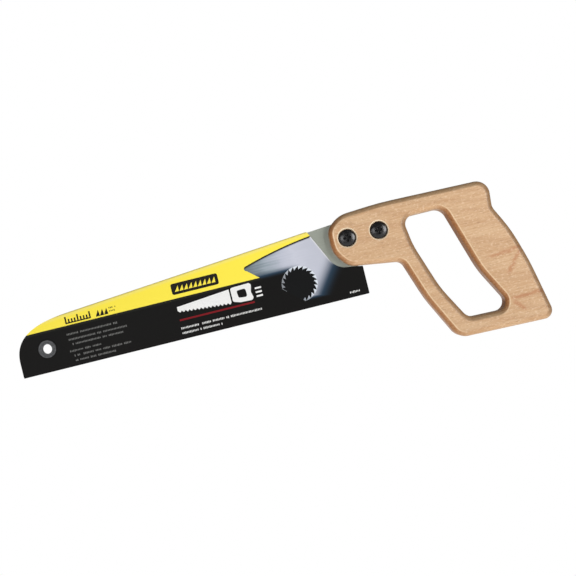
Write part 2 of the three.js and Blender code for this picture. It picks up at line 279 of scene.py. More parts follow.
@dataclass(frozen=True)
class HandleWood(Finish):
    """Pale lacquered beech, with its grain along the saw, browner end grain that is darker on left-facing
    edges as painted shade, painted shade on the top and right-facing edges, and painted highlights along the
    arrises and round the screw bevels.
    """

    pale: Colour = paint(211, 176, 138)
    warm: Colour = paint(190, 145, 102)
    streak: Colour = paint(178, 134, 96)
    fleck: Colour = paint(150, 108, 76)
    figured: Colour = paint(178, 116, 74)
    speck: Colour = paint(232, 204, 172)
    end_grain_and_shade: Colour = paint(208, 172, 136)
    painted_top_right_shade: Colour = paint(206, 208, 206)
    painted_arris_highlight: Colour = paint(255, 228, 186)
    painted_bevel_highlight: Colour = paint(246, 228, 198)
    bevels: tuple[Pair, ...] = ()
    bevel_radii: Pair = (6.6, 7.5)
    heart: Vector = Vector((150.0, 46.0, -8.0))
    heart_tilt: float = math.radians(11)
    ring_width: float = 4.6
    figure: tuple[tuple[Pair, Pair], ...] = (
        ((96.4, 4.7), (120.6, 6.4)), ((117.7, 4.0), (106.5, -10.1)),
        ((104.8, -29.6), (128.6, -29.4)), ((105.0, -32.0), (111.7, -39.0)))

    def material(self) -> bpy.types.Material:
        """Builds the wood.

        Returns:
            The material, which reads the attribute edge_facing that the handle's mesh has.
        """
        made, bench, shader = self.start()
        place = bench.from_heel(self.heel)
        fibres = bench.noise(place, (0.035, 0.9, 0.9), detail=5, roughness=0.62)
        streaks = bench.noise(place, (0.012, 0.16, 0.16), detail=2).fade(0.42, 0.68)
        flecks = bench.noise(place, (0.22, 1.9, 1.9), detail=1).fade(0.6, 0.7)
        specks = bench.noise(place, (0.45, 0.9, 0.9), detail=2).fade(0.52, 0.68)
        tone = bench.mix(fibres.fade(0.36, 0.66) * 0.6, self.pale, self.warm)
        for share, colour in ((streaks * 0.25, self.warm), (self._rings(bench, place) * 0.28, self.streak),
                              (flecks * 0.4, self.fleck), (self._figure(bench, place) * 0.6, self.figured),
                              (specks * 0.45, self.speck)):
            tone = bench.mix(share, tone, colour)
        marks = {"attribute_name": "edge_facing"}
        right, edge, up = bench.parts(bench.node("ShaderNodeAttribute", marks, output="Vector"))
        mottle = bench.noise(place, (0.5, 0.5, 0.5), detail=3)
        # End-grain browning of the round edges: full on left-facing ones, where it is partly painted shade,
        # and weaker on right-facing ones.
        ends = (right * -1.0).most(right * 0.4).most(0.0) * (0.75 + 0.5 * mottle)
        tone = bench.mix(ends.least(1.0), tone, self.end_grain_and_shade, "MULTIPLY")
        # Painted shade: a grey multiply on the top and right-facing round edges, none on the bottom ones.
        tone = bench.mix(up.most(right).most(0.0), tone, self.painted_top_right_shade, "MULTIPLY")
        # Painted highlight: a pale line where the left-facing round edges meet the cheek, which also gets
        # more coat.
        arris_glint_mask = (right * -4.0).most(0.0) * (1.0 - edge)
        tone = bench.mix(arris_glint_mask.least(1.0) * 0.55, tone, self.painted_arris_highlight)
        # Painted highlight: a pale ring on the chamfers round the screws.
        tone = bench.mix(self._bevels(bench, place) * 0.8, tone, self.painted_bevel_highlight)
        gloss = self.roughness + 0.16 * fibres - 0.06
        grain = bench.bump(fibres + flecks * -0.6, 0.05, 0.6)
        shader.inputs["Coat Roughness"].default_value = 0.12
        shader.inputs["Specular IOR Level"].default_value = 0.3
        coat = (1.0 - edge) * 0.15 + arris_glint_mask * 0.5
        self.join(bench, shader, Base_Color=tone, Roughness=gloss, Normal=grain, Coat_Weight=coat)
        return made

    def _bevels(self, bench: Bench, place: Wire) -> Wire:
        """Finds the bevels round the screws, which get a pale painted highlight.

        Args:
            bench: the wood's bench.
            place: the place on the handle, in millimetres from the heel.

        Returns:
            1 on the bevels, else 0.
        """
        x, _, z = bench.parts(place)
        low, high = self.bevel_radii
        reaches = [bench.reach(x - centre_x, z - centre_z) for centre_x, centre_z in self.bevels]
        nearest = reaches[0].least(reaches[1])
        return (nearest > low) * (nearest < high)

    def _figure(self, bench: Bench, place: Wire) -> Wire:
        """Draws thin dark lines of figured grain across the foot of the grip.

        Args:
            bench: the wood's bench.
            place: the place on the handle, in millimetres from the heel.

        Returns:
            1 on the middle of a line, fading to 0.
        """
        x, _, z = bench.parts(place)
        sway = (bench.noise(place, (0.12, 0.02, 0.12), detail=3) - 0.5) * 5.0
        lines = []
        for start, end in self.figure:
            run = Vector(end) - Vector(start)
            right, up = x - start[0], z - start[1]
            along = (right * run.x + up * run.y) / run.length_squared
            across = ((up * run.x - right * run.y) / run.length + sway).size()
            lines.append(across.fade(2.2, 0.2) * along.fade(-0.2, 0.1) * along.fade(1.2, 0.9))
        first, *others = lines
        for line in others:
            first = first.most(line)
        return first

    def _rings(self, bench: Bench, place: Wire) -> Wire:
        """Draws the growth rings round a heart that lies behind the lower grip.

        Args:
            bench: the wood's bench.
            place: the place on the handle, in millimetres from the heel.

        Returns:
            1 on the late wood of each ring, fading to 0.
        """
        sway = bench.noise(place, (0.008, 0.02, 0.02), detail=1)
        turned = {"Vector": place, "Location": self.heart, "Rotation": (0.0, self.heart_tilt, 0.0)}
        local = bench.node("ShaderNodeMapping", {"vector_type": "TEXTURE"}, turned)
        _, across, up = bench.parts(local)
        radius = bench.reach(across, up) + sway * 9.0
        phase = (radius / self.ring_width) % 1.0
        return phase.fade(0.35, 0.95) * (1.0 - phase.fade(0.95, 1.0))


@dataclass(frozen=True)
class BladeSteel(Finish):
    """Rolled saw steel, brushed along the blade under a thin lacquer."""

    tone: Colour = paint(164, 168, 158)
    dark: Colour = paint(136, 140, 131)

    def material(self) -> bpy.types.Material:
        """Builds the steel.

        Returns:
            The material.
        """
        made, bench, shader = self.start()
        place = bench.from_heel(self.heel)
        lines = bench.noise(place, (0.03, 6.0, 6.0), detail=3)
        clouds = bench.noise(place, (0.05, 0.05, 0.09), detail=4)
        tone = bench.mix(lines * 0.5 + clouds * 0.3, self.tone, self.dark)
        gloss = self.roughness + 0.22 * lines - 0.1
        shader.inputs["Metallic"].default_value = 1.0
        shader.inputs["Coat Weight"].default_value = 0.1
        brushing = bench.bump(lines, 0.012, 0.5)
        self.join(bench, shader, Base_Color=tone, Roughness=gloss, Normal=brushing)
        return made


@dataclass(frozen=True)
class Blacking(Finish):
    """Glossy black lacquer on steel, very slightly orange-peeled."""

    tone: Colour = paint(10, 10, 11)
    dusty: Colour = paint(24, 24, 26)

    def material(self) -> bpy.types.Material:
        """Builds the lacquer.

        Returns:
            The material.
        """
        made, bench, shader = self.start()
        place = bench.from_heel(self.heel)
        peel = bench.noise(place, (1.6, 1.6, 1.6), detail=2)
        dust = bench.noise(place, (0.6, 0.6, 0.6), detail=5).fade(0.5, 0.75)
        tone = bench.mix(dust, self.tone, self.dusty)
        gloss = self.roughness + 0.15 * dust
        self.join(bench, shader, Base_Color=tone, Roughness=gloss, Normal=bench.bump(peel, 0.02, 0.4))
        return made


@dataclass(frozen=True)
class Mottled(Finish):
    """A plain finish with patches of a second tone. A spread or a relief of 0 is left out."""

    tone: Colour = paint(128, 128, 128)
    patch: Colour = paint(112, 112, 112)
    waves: float = 1.0
    detail: float = 4.0
    patchy: Pair = (0.4, 0.7)
    gloss_spread: float = 0.0
    relief: float = 0.0
    relief_strength: float = 0.6
    specular: float = 0.5

    def material(self) -> bpy.types.Material:
        """Builds the finish.

        Returns:
            The material.
        """
        made, bench, shader = self.start()
        mottle = bench.noise(bench.from_heel(self.heel), (self.waves,) * 3, detail=self.detail)
        shader.inputs["Specular IOR Level"].default_value = self.specular
        self.join(bench, shader, Base_Color=bench.mix(mottle.fade(*self.patchy), self.tone, self.patch))
        if self.gloss_spread:
            self.join(bench, shader, Roughness=self.roughness + self.gloss_spread * mottle)
        if self.relief:
            self.join(bench, shader, Normal=bench.bump(mottle, self.relief, self.relief_strength))
        return made


@dataclass(frozen=True)
class Moulded(Mottled):
    """Moulded grey plastic, with a slight cast to it."""

    tone: Colour = paint(52, 53, 55)
    patch: Colour = paint(84, 85, 88)
    waves: float = 0.8
    patchy: Pair = (0.35, 0.75)
    gloss_spread: float = 0.12
    relief: float = 0.02
    relief_strength: float = 0.3


@dataclass(frozen=True)
class RawCard(Mottled):
    """The uncoated inside and cut edges of the card."""

    tone: Colour = paint(226, 222, 208)
    patch: Colour = paint(188, 181, 164)
    waves: float = 1.2
    detail: float = 5.0
    patchy: Pair = (0.4, 0.75)
    relief: float = 0.04


@dataclass(frozen=True)
class Ink(Mottled):
    """Flat printing ink, a little uneven where the card takes it up."""

    waves: float = 2.2
    detail: float = 2.0
    patchy: Pair = (0.45, 0.7)
    gloss_spread: float = 0.1
    specular: float = 0.1

    @classmethod
    def of(cls, name: str, heel: Vector, tone: Colour, thin: float = 0.12) -> "Ink":
        """Ink of one tone, whose patches are darker by a small share."""
        shade = tuple(level * (1 - thin) for level in tone[:3])
        return cls(name, heel, 0.45, tone=tone, patch=(*shade, 1.0))


@dataclass(frozen=True)
class PrintedCard(Finish):
    """Coated card: a yellow field over a black one, and a steel-blue panel with a toothed disc."""

    yellow: Colour = paint(252, 232, 76)
    painted_fold_highlight: Colour = paint(243, 227, 124)
    black: Colour = paint(12, 11, 10)
    keyline: Colour = paint(38, 40, 30)
    panel_tones: tuple[tuple[float, Colour], ...] = (
        (0.0, paint(106, 118, 124)), (0.22, paint(150, 161, 170)), (0.5, paint(186, 190, 203)),
        (0.78, paint(199, 201, 213)), (1.0, paint(190, 193, 205)))
    deep: Colour = paint(44, 66, 86)
    margin: Colour = paint(222, 222, 226)
    disc_tone: Colour = paint(12, 13, 14)
    tooth_tone: Colour = paint(214, 220, 228)
    field_edge: float = 30.1
    panel_tip: Pair = (-84.6, 39.8)
    panel_length: float = 58.0
    panel_rise: float = 0.31
    panel_bend: float = 0.0018
    panel_cut: float = 0.86
    tip_centre: Pair = (3.2, -0.9)
    tip_radius: float = 1.75
    disc_centre: Pair = (-45.5, 18.5)
    disc_radius: float = 13.4
    disc_tooth: float = 2.6
    disc_teeth: int = 22
    heel_depth: float = 56.7
    back_angle: float = math.radians(4.7)
    heel_cut: tuple[Pair, Pair] = ((0.0, 1.0), (1.0, 0.0))
    margin_width: float = 1.1

    def material(self) -> bpy.types.Material:
        """Builds the printed face of the card.

        Returns:
            The material.
        """
        made, bench, shader = self.start()
        place = bench.from_heel(self.heel)
        x, _, z = bench.parts(place)
        paper = bench.noise(place, (1.1, 1.1, 1.1), detail=3)
        speckle = bench.noise(place, (0.05, 0.05, 0.05), detail=4)
        back = self.heel_depth + x * math.tan(self.back_angle)
        # Painted highlight: the yellow turns paler along the back fold.
        near_fold = (back - z).fade(3.0, 0.2)
        yellow = bench.mix(near_fold * (0.5 + 0.5 * speckle), self.yellow, self.painted_fold_highlight)
        near_edge = (self.field_edge - z).fade(2.4, 0.0)
        black = bench.mix(near_edge * 0.9, self.black, self.keyline)
        tone = bench.mix(z > self.field_edge, black, yellow)
        tone = self._panel(bench, (x, z), tone, speckle)
        tone = bench.mix(self._margin(x, z) * 0.85, tone, self.margin)
        gloss = self.roughness + 0.1 * paper
        shader.inputs["Specular IOR Level"].default_value = 0.1
        self.join(bench, shader, Base_Color=tone, Roughness=gloss, Normal=bench.bump(paper, 0.012, 0.4))
        return made

    def _panel(self, bench: Bench, at: tuple[Wire, Wire], ground: Wire, speckle: Wire) -> Wire:
        """Lays the steel-blue panel and its toothed disc over the ground.

        Args:
            bench: the card's bench.
            at: the place along the blade and up from its teeth.
            ground: the colour under the panel.
            speckle: broad noise.

        Returns:
            The colour with the panel on it.
        """
        x, z = at
        tip_x, tip_z = self.panel_tip
        along = x - tip_x
        top = tip_z + along * self.panel_rise - along * along * self.panel_bend
        cut = tip_z - along * self.panel_cut
        tip_along, tip_up = self.tip_centre
        tip = bench.reach(along - tip_along, z - (tip_z + tip_up)) < self.tip_radius
        inside = ((z < top) * (z > cut) * (along > 2.2)).most(tip)
        streaks = bench.noise(bench.vector(x, 0.0, z), (0.02, 1.0, 0.5), detail=4)
        level = along / self.panel_length + (streaks - 0.5) * 0.5 + (speckle - 0.5) * 0.3
        steel = bench.node("ShaderNodeValToRGB", {"stops": self.panel_tones}, {0: level.fade(0.0, 1.0)})
        left = z.fade(35.5, 27.0) * x.fade(-38.0, -52.0)
        right = ((x + 26.5) * 0.81 - (z - 17.0) * 0.585).fade(-11.0, 12.0)
        dark = left.most(right).most(z.fade(10.0, 4.0))
        panel = bench.mix(dark.fade(0.0, 0.65), steel, self.deep)
        panel = bench.mix(dark.fade(0.4, 1.0), panel, self.black)
        keyed = bench.mix((z - top).fade(-1.9, -0.7) * inside, panel, self.keyline)
        return self._disc(bench, at, bench.mix(inside, ground, keyed), inside)

    def _margin(self, x: Wire, z: Wire) -> Wire:
        """Finds the unprinted margin along the upper part of the heel cut.

        Args:
            x: the place along the blade.
            z: the height over the tooth line.

        Returns:
            1 on the margin, else 0.
        """
        top, foot = (Vector(end) for end in self.heel_cut)
        run = foot - top
        inward = ((x - top.x) * run.y - (z - top.y) * run.x) / run.length
        return inward.fade(self.margin_width, 0.4) * z.fade(foot.y + 2.0, foot.y + 12.0) * (z < top.y - 4.2)

    def _disc(self, bench: Bench, at: tuple[Wire, Wire], ground: Wire, inside: Wire) -> Wire:
        """Lays a dark disc, with a ring of even saw teeth round its rim, over the ground.

        Args:
            bench: the card's bench.
            at: the place along the blade and up from its teeth.
            ground: the colour under the disc.
            inside: 1 on the panel, else 0.

        Returns:
            The colour with the disc on it.
        """
        across = at[0] - self.disc_centre[0]
        up = at[1] - self.disc_centre[1]
        radius = bench.reach(across, up)
        turn = bench.maths("ARCTAN2", up, across) * (self.disc_teeth / (2 * math.pi))
        disc = radius < self.disc_radius - (turn % 1.0) * self.disc_tooth
        rim = (radius < self.disc_radius) * (1.0 - disc)
        lit = (across + up * 0.5).fade(-9.0, 6.0) * (up + 20.0).fade(0.0, 18.0)
        toothed = bench.mix(rim * inside * (0.35 + 0.65 * lit), ground, self.tooth_tone)
        return bench.mix(disc * inside, toothed, self.disc_tone)


# ---------------------------------------------------------------- drawing and solids


def rounded_outline(corners: Sequence[Triple]) -> list[Vector]:
    """Turns a closed list of corners into points.

    Args:
        corners: (x, z, radius) of each corner, with a radius of 0 for a bare corner.

    Returns:
        The points, with an arc at each rounded corner, limited by the edges beside it.
    """
    points: list[Vector] = []
    for index, (x, z, radius) in enumerate(corners):
        corner = Vector((x, z))
        if radius == 0:
            points.append(corner)
            continue
        before = Vector(corners[index - 1][:2]) - corner
        after = Vector(corners[(index + 1) % len(corners)][:2]) - corner
        longest = min(before.length, after.length) / 2
        before.normalize()
        after.normalize()
        half = before.angle(after) / 2
        reach = min(radius / math.tan(half), longest)
        arc = reach * math.tan(half)
        centre = corner + (before + after).normalized() * (arc / math.sin(half))
        first = corner + before * reach - centre
        last = corner + after * reach - centre
        start = math.atan2(first.y, first.x)
        sweep = math.remainder(math.atan2(last.y, last.x) - start, 2 * math.pi)
        steps = max(1, math.ceil(abs(sweep) / ARC_STEP))
        for step in range(steps + 1):
            angle = start + sweep * step / steps
            points.append(centre + Vector((math.cos(angle), math.sin(angle))) * arc)
    return [point for index, point in enumerate(points)
            if (point - points[index - 1]).length > COINCIDENT]


def circle(x: float, z: float, diameter: float) -> list[Vector]:
    """The points of a round hole, listed clockwise so that material lies to their left."""
    turns = [-2 * math.pi * step / TURN_STEPS for step in range(TURN_STEPS)]
    return [Vector((x + math.cos(turn) * diameter / 2, z + math.sin(turn) * diameter / 2)) for turn in turns]


def quarter(steps: int) -> list[Pair]:
    """The sine and cosine of angles from 0 to a quarter of a turn."""
    angles = [math.pi / 2 * step / steps for step in range(steps + 1)]
    return [(math.sin(angle), math.cos(angle)) for angle in angles]


def wound(loop: Loop, anticlockwise: bool) -> list[Vector]:
    """The loop, listed in the wanted direction."""
    area = sum(a.x * b.y - b.x * a.y for a, b in zip(loop, [*loop[1:], loop[0]]))
    return list(loop) if (area > 0) == anticlockwise else list(reversed(loop))


def inset(loop: Loop, distance: float) -> list[Vector]:
    """Moves a closed loop to its left, with mitred corners.

    Args:
        loop: the loop.
        distance: how far each edge moves.

    Returns:
        The moved loop.
    """
    moved = []
    for before, point, after in zip([loop[-1], *loop[:-1]], loop, [*loop[1:], loop[0]]):
        arriving = (point - before).normalized()
        leaving = (after - point).normalized()
        left = Vector((-arriving.y, arriving.x))
        mitre = (left + Vector((-leaving.y, leaving.x))).normalized()
        moved.append(point + mitre * (distance / mitre.dot(left)))
    return moved


def both_sides(front: Sequence[Pair]) -> list[Pair]:
    """Follows the (inset, y) stations of a wall's front half by those of its back half."""
    return [*front, *((distance, -y) for distance, y in reversed(front))]


@dataclass
class Wall:
    """One closed edge of a plate: its loop and the (inset, y) stations that it runs through."""

    loop: list[Vector]
    stations: list[Pair]


def filled(loops: Sequence[Loop]) -> list[list[int]]:
    """Fills the space between an outer loop and its holes.

    Args:
        loops: the outer loop, anticlockwise, and then the holes, clockwise.

    Returns:
        Triangles, as numbers of the points counted through all the loops.
    """
    points = [point for loop in loops for point in loop]
    rings: list[list[int]] = []
    first = 0
    for loop in loops:
        ring = list(range(first, first + len(loop)))
        rings.append(ring[::-1] if rings else ring)
        first += len(loop)
    triangulated = delaunay_2d_cdt(points, [], rings, TRIANGLES_INSIDE, FILL_TOLERANCE)
    _, _, faces, origins, _, owners = triangulated
    return [[origins[index][0] for index in face] for face, owner in zip(faces, owners) if owner == [0]]


def bridge(form: bmesh.types.BMesh, rings: Sequence[Sequence[bmesh.types.BMVert]]) -> None:
    """Joins closed rings of points, each to the next, by bands of faces.

    Args:
        form: the form that the points are in.
        rings: the rings, all with the same number of points, which may be one point repeated.
    """
    for lower, upper in zip(rings, rings[1:]):
        for place in range(len(lower)):
            corners = (lower[place - 1], lower[place], upper[place], upper[place - 1])
            form.faces.new(tuple(dict.fromkeys(corners)))


def solid(walls: Sequence[Wall]) -> bmesh.types.BMesh:
    """Builds a plate from its walls, closed by flat faces between their ends.

    Args:
        walls: the outer wall, anticlockwise, and then the walls of holes, clockwise.

    Returns:
        The closed solid.
    """
    form = bmesh.new()
    ends: tuple[list, list] = ([], [])
    for wall in walls:
        rings = [[form.verts.new((point.x, y, point.y)) for point in inset(wall.loop, distance)]
                 for distance, y in wall.stations]
        bridge(form, rings)
        ends[0].append(rings[0])
        ends[1].append(rings[-1])
    for rings in ends:
        corners = [vertex for ring in rings for vertex in ring]
        for face in filled([[vertex.co.xz for vertex in ring] for ring in rings]):
            form.faces.new([corners[index] for index in face])
    bmesh.ops.recalc_face_normals(form, faces=form.faces)
    return form


def plate(loops: Sequence[Loop], thickness: float, edge: float = 0.0,
          middle: float = 0.0) -> bmesh.types.BMesh:
    """Builds a flat plate.

    Args:
        loops: its outer loop and then its holes.
        thickness: its thickness along Y.
        edge: the size of the chamfer on its edges.
        middle: the place of its middle along Y.

    Returns:
        The closed solid.
    """
    front = middle - thickness / 2
    back = middle + thickness / 2
    stations = [(0.0, front), (0.0, back)]
    if edge > 0:
        stations = [(edge, front), (0.0, front + edge), (0.0, back - edge), (edge, back)]
    return solid([Wall(wound(loop, index == 0), stations) for index, loop in enumerate(loops)])


def turned(profile: Sequence[Pair], facing: float) -> bmesh.types.BMesh:
    """Turns a profile about Y.

    Args:
        profile: (radius, y) points, from the axis out and back to it, or round to the start.
        facing: 1 to keep the profile's y, or -1 to mirror it.

    Returns:
        The closed solid.
    """
    form = bmesh.new()
    rings: list[list[bmesh.types.BMVert]] = []
    for radius, y in profile:
        if radius == 0:
            rings.append([form.verts.new((0.0, y * facing, 0.0))] * TURN_STEPS)
        else:
            rings.append([form.verts.new((point.x, y * facing, point.y))
                          for point in circle(0.0, 0.0, 2 * radius)])
    bridge(form, rings if profile[0][0] == 0 else [*rings, rings[0]])
    bmesh.ops.recalc_face_normals(form, faces=form.faces)
    return form


def loft(sections: Sequence[Sequence[Triple]]) -> bmesh.types.BMesh:
    """Builds a solid through closed sections.

    Args:
        sections: the (x, y, z) points of each section, all with the same number of points.

    Returns:
        The solid, closed by a flat face at each end.
    """
    form = bmesh.new()
    rings = [[form.verts.new(point) for point in section] for section in sections]
    bridge(form, rings)
    form.faces.new(rings[0])
    form.faces.new(rings[-1])
    bmesh.ops.recalc_face_normals(form, faces=form.faces)
    return form


# ---------------------------------------------------------------- meshes and objects


def to_object(name: str, form: bmesh.types.BMesh) -> bpy.types.Object:
    """Makes an object of a form and links it to the scene.

    Args:
        name: the object's name.
        form: its shape, which is used up.

    Returns:
        The object.
    """
    mesh = bpy.data.meshes.new(name)
    form.to_mesh(mesh)
    form.free()
    piece = bpy.data.objects.new(name, mesh)
    bpy.context.scene.collection.objects.link(piece)
    return piece


def absorb(form: bmesh.types.BMesh, mesh: bpy.types.Mesh) -> None:
    """Adds a mesh to a form and removes the mesh."""
    form.from_mesh(mesh)
    bpy.data.meshes.remove(mesh)


def discard(piece: bpy.types.Object) -> None:
    """Removes an object and its mesh.

    Args:
        piece: the object.
    """
    mesh = piece.data
    bpy.data.objects.remove(piece)
    bpy.data.meshes.remove(mesh)


def evaluated(piece: bpy.types.Object, layers: bool) -> bpy.types.Mesh:
    """Takes the shape that a piece has after its modifiers.

    Args:
        piece: the piece.
        layers: whether the shape keeps all its data layers.

    Returns:
        The shape, as a plain mesh.
    """
    graph = bpy.context.evaluated_depsgraph_get()
    return bpy.data.meshes.new_from_object(piece.evaluated_get(graph), preserve_all_data_layers=layers,
                                           depsgraph=graph)


def settle(piece: bpy.types.Object) -> None:
    """Turns a piece's evaluated shape into its plain mesh and drops its modifiers.

    Args:
        piece: an object with modifiers.
    """
    mesh, old = evaluated(piece, layers=True), piece.data
    piece.modifiers.clear()
    piece.data = mesh
    bpy.data.meshes.remove(old)


class Joining(Enum):
    """How a cutter works on a piece."""

    CUT = "DIFFERENCE"
    KEEP_COMMON = "INTERSECT"


def combine(piece: bpy.types.Object, cutter: bmesh.types.BMesh, how: Joining) -> None:
    """Cuts a piece with a form, or keeps what they share.

    Args:
        piece: the piece that changes.
        cutter: the form, which is used up.
        how: whether to cut or to keep.
    """
    tool = to_object("cutter", cutter)
    change = piece.modifiers.new(how.name, "BOOLEAN")
    change.object = tool
    change.operation = how.value
    change.solver = "EXACT"
    settle(piece)
    discard(tool)


def geometry_tree(name: str, numbers: Sequence[str], counts: Sequence[str]) -> tuple[Bench, dict[str, Wire]]:
    """Starts a geometry tree with named inputs, the last of which is its Material.

    Args:
        name: the tree's name.
        numbers: the names of its sizes.
        counts: the names of its whole numbers.

    Returns:
        The tree's bench, and each input by its name.
    """
    tree = bpy.data.node_groups.new(name, "GeometryNodeTree")
    kinds = {**dict.fromkeys(numbers, "NodeSocketFloat"), **dict.fromkeys(counts, "NodeSocketInt"),
             "Material": "NodeSocketMaterial"}
    for label, kind in kinds.items():
        tree.interface.new_socket(label, in_out="INPUT", socket_type=kind)
    tree.interface.new_socket("Geometry", in_out="OUTPUT", socket_type="NodeSocketGeometry")
    bench = Bench(tree)
    source = tree.nodes.new("NodeGroupInput")
    return bench, {label: Wire(bench, source.outputs[label]) for label in kinds}


def finish_tree(bench: Bench, shape: Wire, material: Wire) -> bpy.types.NodeTree:
    """Ends a geometry tree in real geometry of one material.

    Args:
        bench: the tree's bench.
        shape: the geometry.
        material: the tree's input for its material.

    Returns:
        The tree.
    """
    real = bench.node("GeometryNodeRealizeInstances", None, {0: shape})
    dressed = bench.node("GeometryNodeSetMaterial", None, {"Geometry": real, "Material": material})
    end = bench.tree.nodes.new("NodeGroupOutput")
    bench.tree.links.new(dressed.socket, end.inputs[0])
    return bench.tree


def grow(tree: bpy.types.NodeTree, sizes: dict[str, object]) -> bpy.types.Mesh:
    """Runs a geometry tree.

    Args:
        tree: the tree.
        sizes: what its named inputs hold.

    Returns:
        Its result as a plain mesh.
    """
    holder = to_object(tree.name, bmesh.new())
    change = holder.modifiers.new(tree.name, "NODES")
    change.node_group = tree
    for item in tree.interface.items_tree:
        if item.name in sizes:
            change[item.identifier] = sizes[item.name]
    mesh = evaluated(holder, layers=False)
    discard(holder)
    return mesh


@dataclass
class Workshop:
    """Brings finished forms into the frame of the CAD model."""

    heel: Vector
    sharp: float = math.radians(32)

    def place(self, piece: bpy.types.Object, body: str, nodes: Sequence[str], slot: str,
              materials: Sequence[bpy.types.Material], evened: bool = True) -> None:
        """Args:
            piece: an object whose mesh is in millimetres from the heel of the tooth line.
            body: the CAD body that it moves with.
            nodes: the CAD nodes that it stands for.
            slot: the name of a material slot; not used.
            materials: the piece's finishes, in the order of its faces' numbers.
            evened: whether flat faces lend their normals to the round edges beside them.
        """
        self._shade(piece)
        if evened:
            even = piece.modifiers.new("even", "WEIGHTED_NORMAL")
            even.keep_sharp = True
            settle(piece)
        piece.data.transform(Matrix.Translation(self.heel) @ Matrix.Scale(METRES, 4))
        piece.data.materials.clear()
        for material in materials:
            piece.data.materials.append(material)
        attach(piece, body)
        if nodes:
            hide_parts(*nodes)
        log.info("%s: %d faces on %s", piece.name, len(piece.data.polygons), body)

    def _shade(self, piece: bpy.types.Object) -> None:
        """Smooths a piece, apart from its sharp edges.

        Args:
            piece: the piece.
        """
        form = bmesh.new()
        form.from_mesh(piece.data)
        for face in form.faces:
            face.smooth = True
        for edge in form.edges:
            edge.smooth = edge.is_manifold and edge.calc_face_angle(0.0) < self.sharp
        form.to_mesh(piece.data)
        form.free()


# ---------------------------------------------------------------- the saw


@dataclass
class Fits:
    """Clearances between the pieces."""

    gap: float = 0.3
    head_side: float = 0.5
    sleeve_to_handle: float = 0.4


